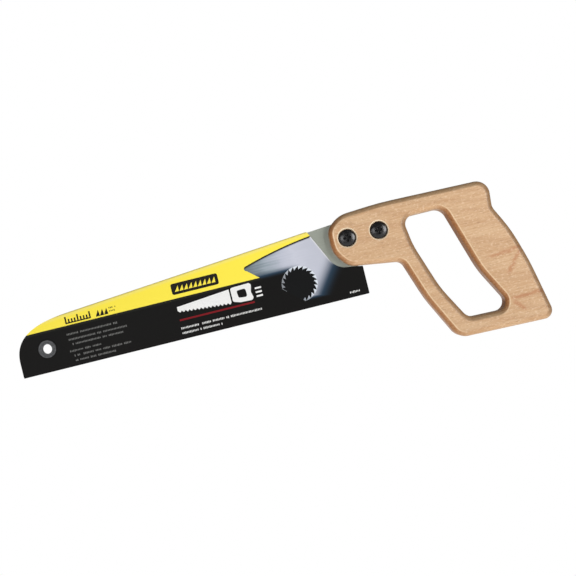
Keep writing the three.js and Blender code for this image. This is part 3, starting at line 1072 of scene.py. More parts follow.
@dataclass
class Blade:
    """The toothed blade, with a tang that the handle holds."""

    fits: Fits
    thickness: float = 0.85
    tooth_line: float = 254.0
    heel_depth: float = 56.7
    back_angle: float = math.radians(4.7)
    tooth_pitch: float = 25.4 / 12
    tooth_height: float = 1.5
    tooth_set: float = 0.14
    tooth_root: float = 1.2
    tooth_inset: float = 0.02
    toe_land: float = 2.0
    toe_height: float = 12.0
    nose_length: float = 40.0
    tang_length: float = 31.3
    tang_bottom: float = 26.0
    hole_from_toe: float = 14.6
    hole_height: float = 16.6
    hole_diameter: float = 8.0
    edge: float = 0.08
    nose_shares: Triple = (0.58, 0.92, 0.25)
    nose_steps: int = 32

    @property
    def toe(self) -> float:
        """Where the blade ends."""
        return -self.tooth_line

    @property
    def hole_x(self) -> float:
        """Where the hang hole is along the blade."""
        return self.toe + self.hole_from_toe

    def back_height(self, x: float, allowance: float = 0.0) -> float:
        """Height of the back edge at x, raised square to the edge by an allowance."""
        return self.heel_depth + x * math.tan(self.back_angle) + allowance / math.cos(self.back_angle)

    def nose(self, end: float, toe: float, length: float, back: float) -> list[Vector]:
        """Draws the rounded nose of a blade or a sleeve.

        Args:
            end: where it ends, along the blade.
            toe: the height at which the curve starts.
            length: how far the curve reaches along the blade.
            back: the height of the back edge where the curve ends.

        Returns:
            The curve's points, from the toe up to the back.
        """
        rise = back - toe
        low, high, reach = self.nose_shares
        controls = [Vector((end, toe)), Vector((end, toe + low * rise)),
                    Vector((end + reach * length, toe + high * rise)), Vector((end + length, back))]
        points = []
        for step in range(self.nose_steps + 1):
            t = step / self.nose_steps
            weights = [(1 - t) ** 3, 3 * t * (1 - t) ** 2, 3 * t * t * (1 - t), t ** 3]
            shares = (control * weight for control, weight in zip(controls, weights))
            points.append(sum(shares, Vector((0, 0))))
        return points

    def _body(self, screws: Sequence[Pair], through: float) -> bmesh.types.BMesh:
        """Makes the plate of the blade above its teeth, with its holes.

        Args:
            screws: where the handle's screws are.
            through: the diameter of their holes.

        Returns:
            The plate.
        """
        nose_end = self.toe + self.nose_length
        outline = [Vector(point) for point in (
            (self.toe, self.tooth_height), (0.0, self.tooth_height), (0.0, self.tang_bottom),
            (self.tang_length, self.tang_bottom), (self.tang_length, self.back_height(self.tang_length)),
            (nose_end, self.back_height(nose_end)))]
        outline += self.nose(self.toe, self.toe_height, self.nose_length, self.back_height(nose_end))[-2::-1]
        holes = [circle(x, z, through) for x, z in screws]
        holes.append(circle(self.hole_x, self.hole_height, self.hole_diameter))
        return plate([outline, *holes], self.thickness, self.edge)

    @staticmethod
    def _teeth_tree() -> bpy.types.NodeTree:
        """Builds a strip whose lower edge is cut into teeth, set to alternate sides.

        Returns:
            The geometry tree.
        """
        sizes = ("Pitch", "Depth", "Thickness", "Set", "Root")
        bench, given = geometry_tree("saw_teeth", sizes, ("Count",))
        length = given["Pitch"] * given["Count"]
        block = bench.vector(length, given["Thickness"], given["Root"])
        columns = given["Count"] * 2.0 + 1.0
        strip = bench.node("GeometryNodeMeshCube", None, {"Size": block, "Vertices X": columns})
        x, y, z = bench.parts(bench.node("GeometryNodeInputPosition"))
        column = bench.maths("ROUND", (x + length * 0.5) / (given["Pitch"] * 0.5))
        tip = (column % 2.0) * (z < 0.0)
        side = 1.0 - 2.0 * (bench.maths("FLOOR", column * 0.5) % 2.0)
        shift = bench.vector(0.0, tip * (side * given["Set"] - y * 0.55), tip * given["Depth"] * -1.0)
        cut = bench.node("GeometryNodeSetPosition", None, {"Geometry": strip, "Offset": shift})
        place = bench.vector(length * -0.5, 0.0, given["Depth"] + given["Root"] * 0.5)
        lowered = bench.node("GeometryNodeTransform", None, {"Geometry": cut, "Translation": place})
        return finish_tree(bench, lowered, given["Material"])

    def build(self, shop: Workshop, steel: bpy.types.Material, screws: Sequence[Pair],
              through: float) -> None:
        """Makes the blade with its teeth.

        Args:
            shop: brings it into the frame.
            steel: its finish.
            screws: where the handle's screws are.
            through: the diameter of their holes.
        """
        form = self._body(screws, through)
        count = math.floor((self.tooth_line - self.toe_land) / self.tooth_pitch)
        absorb(form, grow(self._teeth_tree(), {
            "Pitch": self.tooth_pitch, "Depth": self.tooth_height, "Set": self.tooth_set, "Count": count,
            "Thickness": self.thickness - 2 * self.tooth_inset, "Root": self.tooth_root, "Material": steel}))
        shop.place(to_object("saw_blade", form), "saw", ["blade"], "blade_steel", [steel], evened=False)


@dataclass
class Handle:
    """The closed wooden handle."""

    fits: Fits
    blade: Blade
    thickness: float = 22.0
    length: float = 149.2
    height: float = 113.1
    wood_over_blade: float = 5.9
    nose_reach: float = 16.4
    edge_radius: float = 4.0
    edge_steps: int = 10
    edge_growth: float = 4.4
    top_wall: float = 14.7
    bottom_wall: float = 13.5
    grip_width: float = 36.0
    grip_foot: float = 29.1
    bar_width: float = 12.0
    horn_depth: float = 24.9
    nose_underside: float = 22.3
    nose_corner: float = 9.3
    throat_height: float = 16.5
    throat_setback: float = 31.7
    screw_spacing: float = 24.0
    front_screw: float = -3.4
    screw_height: float = 43.0
    counterbore: float = 13.6
    counterbore_depth: float = 2.8
    counterbore_chamfer: float = 0.6

    @property
    def cheek(self) -> float:
        """Distance of each cheek from the middle."""
        return self.thickness / 2

    @property
    def seat(self) -> float:
        """Distance of each counterbore's floor from the middle."""
        return self.cheek - self.counterbore_depth

    @property
    def nose_x(self) -> float:
        """Where the handle starts."""
        return -self.nose_reach

    @property
    def top(self) -> float:
        """Height of the handle's top."""
        return self.blade.heel_depth + self.wood_over_blade

    @property
    def screws(self) -> list[Pair]:
        """Where the two screws are."""
        return [(self.front_screw, self.screw_height),
                (self.front_screw + self.screw_spacing, self.screw_height)]

    def underside(self, x: float) -> float:
        """Finds the handle's underside between its nose and its throat.

        Args:
            x: a place along the saw.

        Returns:
            The height of the underside there.
        """
        corner = self.nose_x + self.nose_corner
        fall = (self.throat_height - self.nose_underside) / (self.throat_setback - corner)
        return self.nose_underside + fall * (x - corner)

    def outline(self) -> list[Vector]:
        """Draws the outer edge.

        Returns:
            Its points, from the nose over the top and round the grip.
        """
        top, throat, low = self.top, self.throat_height, self.top - self.height
        nose, rear = self.nose_x, self.nose_x + self.length
        horn = rear - self.horn_depth
        foot = self.throat_setback
        return rounded_outline([
            (nose, top - 10.5, 12.0), (nose + 10.4, top - 1.9, 22.0), (nose + 41.7, top, 220.0),
            (horn, top - 1.9, 12.7), (horn - 1.8, top - 23.2, 9.0), (horn + 7.6, top - 41.9, 110.0),
            (horn + 15.6, top - 67.9, 180.0), (rear, low, 6.7), (foot + 27.6, low + 1.8, 12.0),
            (foot + 10.4, throat - 30.7, 90.0), (foot, throat, 6.7),
            (nose + self.nose_corner, self.nose_underside, 13.4), (nose, self.nose_underside + 12.3, 18.0)])

    def hand_hole(self) -> list[Vector]:
        """Draws the edge of the hand hole.

        Returns:
            Its points.
        """
        top, low = self.top - self.top_wall, self.top - self.height + self.bottom_wall
        rear = self.nose_x + self.length
        grip = rear - self.horn_depth - self.grip_width
        bar = self.throat_setback + self.bar_width
        return rounded_outline([
            (bar - 4.0, top - 0.1, 6.7), (grip - 1.8, top, 9.0), (grip + 13.9, self.top - 65.6, 75.0),
            (rear - self.grip_foot, low + 0.5, 7.0), (bar + 25.7, low + 1.3, 9.0),
            (bar + 11.1, self.throat_height - 25.9, 90.0), (bar - 0.9, self.throat_height + 9.5, 60.0)])

    def _round_stations(self) -> list[Pair]:
        """Lists the stations of a wall whose two edges are rounded over.

        Returns:
            Its (inset, y) stations, from front to back.
        """
        radius = self.edge_radius
        return both_sides([(radius * (1 - sine), radius * (1 - cosine) - self.cheek)
                           for sine, cosine in quarter(self.edge_steps)])

    def _bore_stations(self, through: float) -> list[Pair]:
        """Lists the stations of a screw hole.

        Args:
            through: the diameter of its bore.

        Returns:
            Its (inset, y) stations: a chamfered counterbore on each side, and the bore between.
        """
        chamfer = self.counterbore_chamfer
        step_in = -(self.counterbore - through) / 2
        return both_sides([(chamfer, -self.cheek), (0.0, chamfer - self.cheek), (0.0, -self.seat),
                           (step_in, -self.seat)])

    def _kerf(self) -> bmesh.types.BMesh:
        """Makes the slot that the blade sits in.

        Returns:
            The slot, as a cutter.
        """
        gap = self.fits.gap
        front, rear = self.nose_x - OVERRUN, self.blade.tang_length + gap
        bottom, step = self.throat_height - OVERRUN, self.blade.tang_bottom - gap
        slot = [(front, bottom), (gap, bottom), (gap, step), (rear, step),
                (rear, self.blade.back_height(rear, gap)), (front, self.blade.back_height(front, gap))]
        return plate([[Vector(point) for point in slot]], self.blade.thickness + 2 * gap)

    def _mark_edges(self, mesh: bpy.types.Mesh) -> None:
        """Stores where each point of the edges faces, as (x, how far round, z), and 0 on the cheeks.

        Args:
            mesh: the handle's mesh.
        """
        marks = mesh.attributes.new("edge_facing", "FLOAT_VECTOR", "POINT")
        for vertex, mark in zip(mesh.vertices, marks.data):
            sunk = max(0.0, self.cheek - abs(vertex.co.y)) / self.edge_radius
            round_edge = min(1.0, self.edge_growth * math.sqrt(sunk))
            facing = vertex.normal.xz.normalized() * round_edge
            mark.vector = (facing.x, round_edge, facing.y)

    def build(self, shop: Workshop, wood: bpy.types.Material, through: float) -> None:
        """Makes the handle.

        Args:
            shop: brings it into the frame.
            wood: its finish.
            through: the diameter of the bores.
        """
        walls = [Wall(wound(self.outline(), True), self._round_stations()),
                 Wall(wound(self.hand_hole(), False), self._round_stations())]
        walls += [Wall(circle(x, z, self.counterbore), self._bore_stations(through)) for x, z in self.screws]
        handle = to_object("wooden_handle", solid(walls))
        combine(handle, self._kerf(), Joining.CUT)
        self._mark_edges(handle.data)
        shop.place(handle, "saw", ["handle"], "handle_wood", [wood])


class FastenerKind(Enum):
    """The two halves of a handle fastener, and the side that each one's head is on."""

    SCREW = -1
    BARREL_NUT = 1


@dataclass
class Fastener:
    """A screw or a barrel nut with a domed head and a cross recess."""

    handle: Handle
    rim: float = 0.9
    recess: float = 0.3
    shank: float = 5.0
    shank_chamfer: float = 0.6
    barrel_wall: float = 0.7
    barrel_end_gap: float = 1.7
    shank_end_gap: float = 0.5
    dome_steps: int = 12
    cross_reach: float = 3.1
    cross_width: float = 1.5
    cross_depth: float = 1.5
    cross_brim: float = 0.2
    cross_taper: float = 0.55
    rim_edge: float = 0.2

    @property
    def head(self) -> float:
        """Radius of the head."""
        return self.handle.counterbore / 2 - self.handle.fits.head_side

    @property
    def barrel_bore(self) -> float:
        """Radius of the barrel's bore."""
        return self.shank / 2 + self.handle.fits.gap

    @property
    def through(self) -> float:
        """Diameter of the hole that the barrel passes through."""
        return 2 * (self.barrel_bore + self.barrel_wall + self.handle.fits.gap)

    @property
    def underside(self) -> float:
        """Distance of the head's underside from the middle."""
        return self.handle.seat + self.handle.fits.gap

    @property
    def top(self) -> float:
        """Distance of the dome's top from the middle."""
        return self.handle.cheek - self.recess

    def _profile(self, kind: FastenerKind) -> list[Pair]:
        """Draws half a section.

        Args:
            kind: screw or barrel nut.

        Returns:
            (radius, y) points, from the top of the head to the end of the shank or the barrel.
        """
        rim = self.underside + self.rim
        head = [(self.head * sine, rim + (self.top - rim) * cosine)
                for sine, cosine in quarter(self.dome_steps)]
        head += [(self.head, self.underside + self.rim_edge), (self.head - self.rim_edge, self.underside)]
        if kind is FastenerKind.SCREW:
            shank = self.shank / 2
            chamfer = self.shank_chamfer
            end = -(self.underside - self.barrel_end_gap - self.shank_end_gap)
            return head + [(shank, self.underside), (shank, end + chamfer), (shank - chamfer, end),
                           (0.0, end)]
        barrel = self.barrel_bore + self.barrel_wall
        end = -(self.handle.seat - self.barrel_end_gap)
        floor = self.underside - self.barrel_end_gap
        return head + [(barrel, self.underside), (barrel, end), (self.barrel_bore, end),
                       (self.barrel_bore, floor), (0.0, floor)]

    def _cross(self, facing: float) -> bmesh.types.BMesh:
        """Makes the tapered cross that is pressed into the head.

        Args:
            facing: -1 for the front or 1 for the back.

        Returns:
            The cross, as a cutter.
        """
        half, reach = self.cross_width / 2, self.cross_reach
        arm = [Vector((reach, -half)), Vector((reach, half)), Vector((half, half))]
        plus = [Matrix.Rotation(math.pi / 2 * turn, 2) @ point for turn in range(4) for point in arm]
        levels = ((1.0, self.top + OVERRUN), (1.0, self.top - self.cross_brim),
                  (self.cross_taper, self.top - self.cross_depth))
        return loft([[(point.x * scale, y * facing, point.y * scale) for point in plus]
                     for scale, y in levels])

    def build(self, shop: Workshop, black: bpy.types.Material, kind: FastenerKind, place: str,
              at: Pair) -> None:
        """Makes one fastener.

        Args:
            shop: brings it into the frame.
            black: its finish.
            kind: screw or barrel nut.
            place: "front" or "rear".
            at: where its axis is.
        """
        node = f"{place}_{kind.name.lower()}"
        piece = to_object(f"{node}_black", turned(self._profile(kind), kind.value))
        combine(piece, self._cross(kind.value), Joining.CUT)
        piece.data.transform(Matrix.Translation((at[0], 0.0, at[1])))
        shop.place(piece, "saw", [node], "black_screws", [black])


class Side(Enum):
    """The two faces of the sleeve, by the way that each one faces."""

    FRONT = -1
    BACK = 1


@dataclass
class HangRing:
    """An eyelet ring round the sleeve's hang hole."""

    diameter: float = 13.2
    bore: float = 7.2
    neck_wall: float = 0.7
    thickness: float = 0.9
    groove: float = 5.1
    groove_depth: float = 0.25
    edge: float = 0.35
    edge_steps: int = 4

    def _lip(self, radius: float, top: float, outward: float) -> list[Pair]:
        """Rounds a corner at the top of the flange.

        Args:
            radius: the radius of the wall that the corner meets.
            top: the height of the flange.
            outward: 1 for the outer wall or -1 for the inner one.

        Returns:
            The corner's (radius, y) points, from the inside out.
        """
        points = [(radius - outward * self.edge * (1 - sine), top - self.edge * (1 - cosine))
                  for sine, cosine in quarter(self.edge_steps)]
        return points if outward > 0 else points[::-1]

    def build(self, shop: Workshop, plastic: bpy.types.Material, sleeve: "Sleeve", side: Side) -> None:
        """Makes the ring of one side.

        Args:
            shop: brings it into the frame.
            plastic: its finish.
            sleeve: the sleeve that it is on.
            side: the side that it is on.
        """
        face = sleeve.thickness / 2
        bottom = face + sleeve.fits.gap
        top = bottom + self.thickness
        inner, outer = self.bore / 2, self.diameter / 2
        neck, neck_end = inner + self.neck_wall, face - sleeve.card
        profile = [
            *self._lip(inner, top, -1.0), (self.groove - self.edge, top),
            (self.groove, top - self.groove_depth), (self.groove + self.edge, top),
            *self._lip(outer, top, 1.0), (outer, bottom), (neck, bottom), (neck, neck_end), (inner, neck_end)]
        node = f"{side.name.lower()}_hang_ring"
        piece = to_object(f"{node}_grey", turned(profile, side.value))
        piece.data.transform(Matrix.Translation((sleeve.blade.hole_x, 0.0, sleeve.blade.hole_height)))
        shop.place(piece, "sleeve", [node], "ring_plastic", [plastic])


@dataclass
class Sleeve:
    """The folded card sleeve: two panels joined by a fold along the back and one along the teeth."""

    fits: Fits
    blade: Blade
    handle: Handle
    ring: HangRing
    card: float = 0.5
    toe_room: float = 7.5
    heel_overhang: float = 3.35
    nose_extra: float = 4.7
    toe_drop: float = 1.6
    shoulder_radius: float = 1.5
    cut_slope: float = 15.1
    cut_setback: float = 0.1
    cut_radius: float = 15.0
    corner_radius: float = 0.6
    fold_steps: int = 12
    bulge: float = 0.4
    bulge_wave: float = 31.0
    mesh_step: float = 6.0

    @property
    def cavity(self) -> float:
        """Width of the space inside."""
        return self.blade.thickness + 2 * self.fits.gap

    @property
    def thickness(self) -> float:
        """Thickness over both panels."""
        return self.cavity + 2 * self.card

    @property
    def skin(self) -> float:
        """From the blade's edge to the outside of a fold."""
        return self.fits.gap + self.card

    @property
    def end(self) -> float:
        """Where the sleeve ends at the toe."""
        return self.blade.toe - self.toe_room

    @property
    def heel_cut(self) -> tuple[Pair, Pair]:
        """The cut in front of the handle's nose.

        Returns:
            Its upper and its lower end.
        """
        foot = self.handle.nose_x + self.cut_setback
        top = foot - self.cut_slope
        return ((top, self.blade.back_height(top, self.skin)),
                (foot, self.handle.underside(foot) - self.fits.sleeve_to_handle))

    def outline(self) -> list[Vector]:
        """Draws the cut edge of both panels, and the two folds.

        Returns:
            The points of the sleeve's whole outline.
        """
        blade, skin = self.blade, self.skin
        length = blade.nose_length + self.nose_extra
        nose_end = self.end + length
        toe = blade.toe_height - self.toe_drop
        back = blade.back_height(nose_end, skin)
        heel = self.heel_overhang
        cut_top, cut_foot = self.heel_cut
        heel_top = self.handle.underside(heel) - self.fits.sleeve_to_handle
        corner = self.corner_radius
        straight = rounded_outline([
            (nose_end, back, 0.0), (*cut_top, self.shoulder_radius), (*cut_foot, self.cut_radius),
            (heel, heel_top, corner), (heel, -skin, corner), (self.end, -skin, corner), (self.end, toe, 0.0)])
        return straight + blade.nose(self.end, toe, length, back)[1:-1]

    def _tube(self, radius: float) -> bmesh.types.BMesh:
        """Makes a solid with half-round folds, longer than the sleeve at both ends.

        Args:
            radius: the radius of the folds.

        Returns:
            The solid.
        """
        outer = self.thickness / 2
        sections = []
        for x in (self.end - OVERRUN, self.heel_overhang + OVERRUN):
            section = []
            high = self.blade.back_height(x, self.skin - outer)
            for centre, start in ((outer - self.skin, math.pi), (high, 0.0)):
                for step in range(self.fold_steps + 1):
                    angle = start + math.pi * step / self.fold_steps
                    section.append((x, radius * math.cos(angle), centre + radius * math.sin(angle)))
            sections.append(section)
        return loft(sections)

    @staticmethod
    def _raw(form: bmesh.types.BMesh) -> bmesh.types.BMesh:
        """Marks a cutter's faces as raw card.

        Args:
            form: the cutter.

        Returns:
            The same cutter.
        """
        for face in form.faces:
            face.material_index = 1
        return form

    def ripple(self, form: bmesh.types.BMesh) -> None:
        """Divides flat card or ink into small faces and bulges each panel slightly outwards.

        Args:
            form: the card or the ink.
        """
        for axis, first, last in ((0, self.end, self.heel_overhang), (2, 0.0, self.blade.heel_depth)):
            normal = Vector((0.0, 0.0, 0.0))
            normal[axis] = 1.0
            for step in range(1, math.ceil((last - first) / self.mesh_step)):
                parts = [*form.verts, *form.edges, *form.faces]
                place = normal * (first + step * self.mesh_step)
                bmesh.ops.bisect_plane(form, geom=parts, plane_co=place, plane_no=normal)
        for vertex in form.verts:
            x, y, z = vertex.co
            share = min(1.0, max(0.0, z / self.blade.back_height(x)))
            wave = 0.6 + 0.4 * math.sin(x / self.bulge_wave + 0.4)
            fullness = min(1.0, abs(y) / (self.cavity / 2))
            vertex.co.y += math.copysign(self.bulge * math.sin(math.pi * share) * wave * fullness, y)

    def build(self, shop: Workshop, printed: bpy.types.Material, raw: bpy.types.Material) -> None:
        """Makes the sleeve.

        Args:
            shop: brings it into the frame.
            printed: the finish of its faces.
            raw: the finish of its inside and its cut edges.
        """
        sleeve = to_object("blade_sleeve", self._tube(self.thickness / 2))
        for name in ("printed", "raw"):
            sleeve.data.materials.append(bpy.data.materials.new(name))
        deep = self.thickness + 2 * OVERRUN
        hole = self.ring.bore + 2 * (self.ring.neck_wall + self.fits.gap)
        punch = circle(self.blade.hole_x, self.blade.hole_height, hole)
        combine(sleeve, self._raw(plate([self.outline()], deep)), Joining.KEEP_COMMON)
        combine(sleeve, self._raw(self._tube(self.cavity / 2)), Joining.CUT)
        combine(sleeve, self._raw(plate([punch], deep)), Joining.CUT)
        form = bmesh.new()
        form.from_mesh(sleeve.data)
        self.ripple(form)
        form.to_mesh(sleeve.data)
        form.free()
        shop.place(sleeve, "sleeve", ["card_sleeve"], "printed_card", [printed, raw])


@dataclass
class Print:
    """The small marks printed on the sleeve, each a skin of ink just proud of the card.

    A row is (start, end, height), and a bar is (start, end, low, high, corner radius).
    """

    sleeve: Sleeve
    ink: float = 0.03
    lift: float = 0.012
    overprint: float = 0.022
    tick_pitch: float = 1.15
    tick_width: float = 0.62
    seed: int = 5
    white_rows: tuple[Triple, ...] = ((-138.6, -76.0, 7.4), (-138.6, -107.3, 3.7), (-10.4, -0.9, 3.1))
    grey_rows: tuple[Triple, ...] = (
        (-222.6, -184.0, 23.4), (-222.0, -176.6, 19.3), (-221.0, -181.0, 15.6),
        (-223.0, -199.0, 10.7), (-220.5, -176.6, 7.0), (-220.5, -189.0, 3.3))
    dark_rows: tuple[Triple, ...] = ((-187.6, -181.4, 33.0), (-187.6, -181.4, 35.4))
    white_height: float = 1.7
    grey_height: float = 1.6
    dark_height: float = 1.3
    side_bars: tuple[float, ...] = (16.6, 19.6, 22.6)
    underline: tuple[float, ...] = (-138.6, -81.2, 12.9, 14.2, 0.0)
    dark_plate: tuple[float, ...] = (-139.3, -103.6, 32.9, 41.3, 1.6)
    scale_start: float = -221.8
    scale_low: float = 31.2
    scale_step: float = 2.3
    sign_teeth: int = 14

    @staticmethod
    def _ticks_tree() -> bpy.types.NodeTree:
        """Builds a row of short upright marks of uneven height, with gaps like those between words.

        Returns:
            The geometry tree.
        """
        sizes = ("Pitch", "Width", "Height", "Skin")
        bench, given = geometry_tree("print_row", sizes, ("Count", "Seed"))
        step = bench.vector(given["Pitch"], 0.0, 0.0)
        line = bench.node("GeometryNodeMeshLine", None, {"Count": given["Count"], "Offset": step})
        gaps = bench.node("FunctionNodeRandomValue", {"data_type": "BOOLEAN"},
                          {"Probability": 0.14, "Seed": given["Seed"]}, 3)
        marks = bench.node("GeometryNodeDeleteGeometry", None, {"Geometry": line, "Selection": gaps})
        tall = bench.node("FunctionNodeRandomValue", {"data_type": "FLOAT"},
                          {2: 0.6, 3: 1.0, "Seed": given["Seed"] + 1.0}, 1)
        cube = bench.node("GeometryNodeMeshCube", None, {"Size": (1.0, 1.0, 1.0)})
        scale = bench.vector(given["Width"], given["Skin"], given["Height"] * tall)
        joined = {"Points": marks, "Instance": cube, "Scale": scale}
        copies = bench.node("GeometryNodeInstanceOnPoints", None, joined)
        return finish_tree(bench, copies, given["Material"])

    def _row(self, form: bmesh.types.BMesh, tree: bpy.types.NodeTree, ink: bpy.types.Material,
             row: Triple, height: float, side: Side) -> None:
        """Adds a row of marks.

        Args:
            form: the ink that it is added to.
            tree: the tree that makes a row.
            ink: the finish of its marks.
            row: its start, end and height on the sleeve.
            height: the height of its tallest marks.
            side: the side that it is on.
        """
        start, end, level = row
        self.seed += 1
        marks = grow(tree, {
            "Pitch": self.tick_pitch, "Width": self.tick_width, "Height": height, "Skin": self.ink,
            "Count": round((end - start) / self.tick_pitch), "Seed": self.seed, "Material": ink})
        proud = self.sleeve.thickness / 2 + self.lift
        marks.transform(Matrix.Translation((start, side.value * proud, level)))
        absorb(form, marks)

    def _mark(self, form: bmesh.types.BMesh, loops: Sequence[Loop], side: Side, raised: float = 0.0) -> None:
        """Adds a flat mark.

        Args:
            form: the ink that it is added to.
            loops: its outer loop and then its holes.
            side: the side that it is on.
            raised: how much prouder it is than other marks.
        """
        proud = self.sleeve.thickness / 2 + self.lift + raised
        skin = plate(loops, self.ink, middle=side.value * proud)
        mesh = bpy.data.meshes.new("mark")
        skin.to_mesh(mesh)
        skin.free()
        absorb(form, mesh)

    def _bar(self, form: bmesh.types.BMesh, bar: Sequence[float], side: Side) -> None:
        """Adds a bar.

        Args:
            form: the ink that it is added to.
            bar: its start, end, low, high and corner radius.
            side: the side that it is on.
        """
        start, end, low, high, corner = bar
        ends = ((start, low), (end, low), (end, high), (start, high))
        self._mark(form, [rounded_outline([(*place, corner) for place in ends])], side)

    def _tooth(self, form: bmesh.types.BMesh, points: Sequence[Pair], side: Side,
               raised: float = 0.0) -> None:
        """Adds a tooth of three points."""
        self._mark(form, [[Vector(point) for point in points]], side, raised)

    def _scale(self, form: bmesh.types.BMesh, side: Side) -> None:
        """Adds a short plain scale and a few teeth, which stand for the saw's length and pitch.

        Args:
            form: the ink that they are added to.
            side: the side that they are on.
        """
        low = self.scale_low
        for step in range(9):
            start = self.scale_start + step * self.scale_step
            self._bar(form, (start, start + 1.15, low, low + (5.4 if step % 4 == 0 else 3.4), 0.0), side)
        self._bar(form, (self.scale_start, self.scale_start + 19.55, low, low + 0.9, 0.0), side)
        for tooth in range(3):
            start = self.scale_start + 23.2 + tooth * 3.2
            self._tooth(form, ((start, low), (start + 3.2, low), (start + 2.6, low + 4.8)), side)

    def _saw_sign(self, form: bmesh.types.BMesh, side: Side) -> None:
        """Adds a plain sign of a hand saw, as used for any saw.

        Args:
            form: the ink that it is added to.
            side: the side that it is on.
        """
        start, heel, end = -138.4, -98.0, -80.6
        pitch = (heel - start) / self.sign_teeth
        edge = [Vector((start, 23.6)), Vector((start, 20.6))]
        for tooth in range(self.sign_teeth):
            x = start + tooth * pitch
            level = 20.6 - 3.4 * (tooth + 1) / self.sign_teeth
            edge += [Vector((x + pitch * 0.55, level - 1.3)), Vector((x + pitch, level))]
        edge.append(Vector((heel, 27.2)))
        self._mark(form, [edge], side)
        grip = rounded_outline([
            (heel + 1.2, 27.8, 1.5), (heel + 1.2, 17.4, 1.5), (heel + 6.6, 15.8, 1.5),
            (end, 15.4, 2.0), (end - 1.6, 21.4, 4.0), (end, 28.4, 2.0)])
        hole = rounded_outline([
            (heel + 5.4, 24.8, 1.2), (heel + 6.0, 19.4, 1.2), (end - 4.8, 18.6, 1.5), (end - 5.2, 25.2, 1.5)])
        self._mark(form, [grip, hole], side)

    def build(self, shop: Workshop, inks: dict[str, bpy.types.Material]) -> None:
        """Makes the marks, one piece for each ink.

        Args:
            shop: brings them into the frame.
            inks: each ink's finish, by its colour.
        """
        tree = self._ticks_tree()
        forms = {colour: bmesh.new() for colour in inks}
        rows = (("white", self.white_rows, self.white_height), ("grey", self.grey_rows, self.grey_height),
                ("dark", self.dark_rows, self.dark_height))
        for side in Side:
            self._saw_sign(forms["white"], side)
            for colour, places, height in rows:
                for place in places:
                    self._row(forms[colour], tree, inks[colour], place, height, side)
            for level in self.side_bars:
                self._bar(forms["white"], (-78.8, -74.0, level, level + 1.3, 0.0), side)
            self._scale(forms["dark"], side)
            self._bar(forms["red"], self.underline, side)
            self._bar(forms["dark"], self.dark_plate, side)
            for tooth in range(9):
                start = -137.0 + tooth * 3.5
                points = ((start, 35.0), (start + 3.0, 35.0), (start + 3.0, 39.2))
                self._tooth(forms["yellow"], points, side, self.overprint)
        for colour, form in forms.items():
            self.sleeve.ripple(form)
            piece = to_object(f"{colour}_marks", form)
            shop.place(piece, "sleeve", [], "printed_card", [inks[colour]], evened=False)


# ---------------------------------------------------------------- the studio


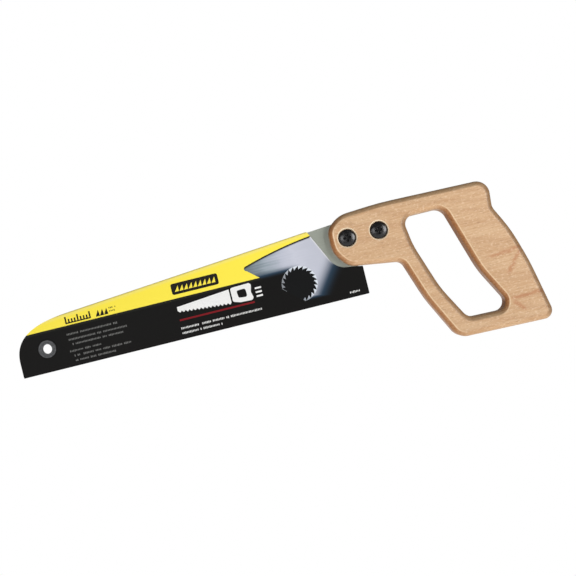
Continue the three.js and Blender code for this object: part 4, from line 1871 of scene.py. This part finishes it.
@dataclass
class Studio:
    """A pale floor, soft light and the camera."""

    heel: Vector
    aim: Triple = (-54.7, 0.0, 17.6)
    distance: float = 1.04
    roll: float = math.radians(13.93)
    lens: float = 87.25
    floor_width: float = 0.8
    surround: float = 0.16

    @property
    def target(self) -> Vector:
        """What the camera and the lamps face."""
        return self.heel + Vector(self.aim) * METRES

    def camera(self) -> None:
        """Looks level along +Y, rolled so that the blade falls away to the left."""
        data = bpy.data.cameras.new("camera")
        data.lens = self.lens
        camera = bpy.data.objects.new("camera", data)
        right = Vector((math.cos(self.roll), 0.0, -math.sin(self.roll)))
        up = Vector((math.sin(self.roll), 0.0, math.cos(self.roll)))
        back = Vector((0.0, -1.0, 0.0))
        axes = Matrix((right, up, back)).transposed().to_4x4()
        camera.matrix_world = Matrix.Translation(self.target + back * self.distance) @ axes
        bpy.context.scene.collection.objects.link(camera)
        bpy.context.scene.camera = camera
        bpy.context.scene.view_settings.view_transform = "Standard"

    def floor(self) -> None:
        """A glowing white table that the saw stands on."""
        form = bmesh.new()
        bmesh.ops.create_grid(form, x_segments=1, y_segments=1, size=self.floor_width / 2)
        floor = to_object("floor", form)
        material = bpy.data.materials.new("white_floor")
        material.use_nodes = True
        shader = material.node_tree.nodes["Principled BSDF"]
        shader.inputs["Base Color"].default_value = (0.0, 0.0, 0.0, 1.0)
        shader.inputs["Specular IOR Level"].default_value = 0.0
        shader.inputs["Emission Color"].default_value = (1.0, 1.0, 1.0, 1.0)
        shader.inputs["Emission Strength"].default_value = 1.0
        floor.data.materials.append(material)

    def world(self) -> None:
        """White behind the saw, and a dimmer surround that lights it."""
        world = bpy.data.worlds.new("studio")
        world.use_nodes = True
        bpy.context.scene.world = world
        bench = Bench(world.node_tree)
        seen = bench.node("ShaderNodeLightPath", output="Is Camera Ray")
        strength = self.surround + seen * (1.0 - self.surround)
        background = world.node_tree.nodes["Background"]
        background.inputs["Color"].default_value = (1.0, 1.0, 1.0, 1.0)
        bench.tree.links.new(strength.socket, background.inputs["Strength"])

    def lamp(self, name: str, place: Triple, width: float, power: float, glossy: bool = True) -> None:
        """Adds a square soft light that faces the saw.

        Args:
            name: the lamp's name.
            place: where it is from the target, in metres.
            width: its width, in metres.
            power: its power, in watts.
            glossy: whether it shows in reflections.
        """
        data = bpy.data.lights.new(name, "AREA")
        data.shape = "SQUARE"
        data.size = width
        data.energy = power
        lamp = bpy.data.objects.new(name, data)
        lamp.visible_glossy = glossy
        lamp.location = self.target + Vector(place)
        lamp.rotation_euler = Vector(place).to_track_quat("Z", "Y").to_euler()
        bpy.context.scene.collection.objects.link(lamp)

    def build(self) -> None:
        """Makes the studio."""
        self.camera()
        self.floor()
        self.world()
        self.lamp("glint_light", (-0.75, -0.9, 0.1), 0.16, 0.7)
        self.lamp("left_light", (-0.35, -1.3, 0.1), 0.4, 2.6)
        self.lamp("right_light", (0.7, -0.95, 0.0), 0.5, 8.0)
        self.lamp("back_light", (0.1, 1.0, 0.5), 0.6, 5.0, glossy=False)


def main() -> None:
    """Builds the saw and its studio."""
    logging.basicConfig(level=logging.INFO, format="%(message)s")
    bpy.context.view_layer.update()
    fits = Fits()
    blade = Blade(fits)
    low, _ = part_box("blade")
    heel = Vector((low.x + blade.tooth_line * METRES, 0.0, low.z))
    Studio(heel).build()
    shop = Workshop(heel)
    handle = Handle(fits, blade)
    fastener = Fastener(handle)
    wood = HandleWood("handle_wood", heel, 0.42, bevels=tuple(handle.screws)).material()
    handle.build(shop, wood, fastener.through)
    blade.build(shop, BladeSteel("blade_steel", heel, 0.38).material(), handle.screws, fastener.through)
    black = Blacking("screw_black", heel, 0.22).material()
    for place, at in zip(("front", "rear"), handle.screws):
        for kind in FastenerKind:
            fastener.build(shop, black, kind, place, at)
    ring = HangRing()
    sleeve = Sleeve(fits, blade, handle, ring)
    printed = PrintedCard("printed_card", heel, 0.4, heel_cut=sleeve.heel_cut).material()
    sleeve.build(shop, printed, RawCard("raw_card", heel, 0.8).material())
    plastic = Moulded("ring_plastic", heel, 0.35).material()
    for side in Side:
        ring.build(shop, plastic, sleeve, side)
    inks = {"white": paint(238, 238, 236), "grey": paint(118, 118, 116), "dark": paint(30, 29, 24),
            "red": paint(126, 22, 30), "yellow": paint(252, 232, 76)}
    Print(sleeve).build(shop, {colour: Ink.of(f"{colour}_ink", heel, tone).material()
                               for colour, tone in inks.items()})


if __name__ == "__main__":
    main()
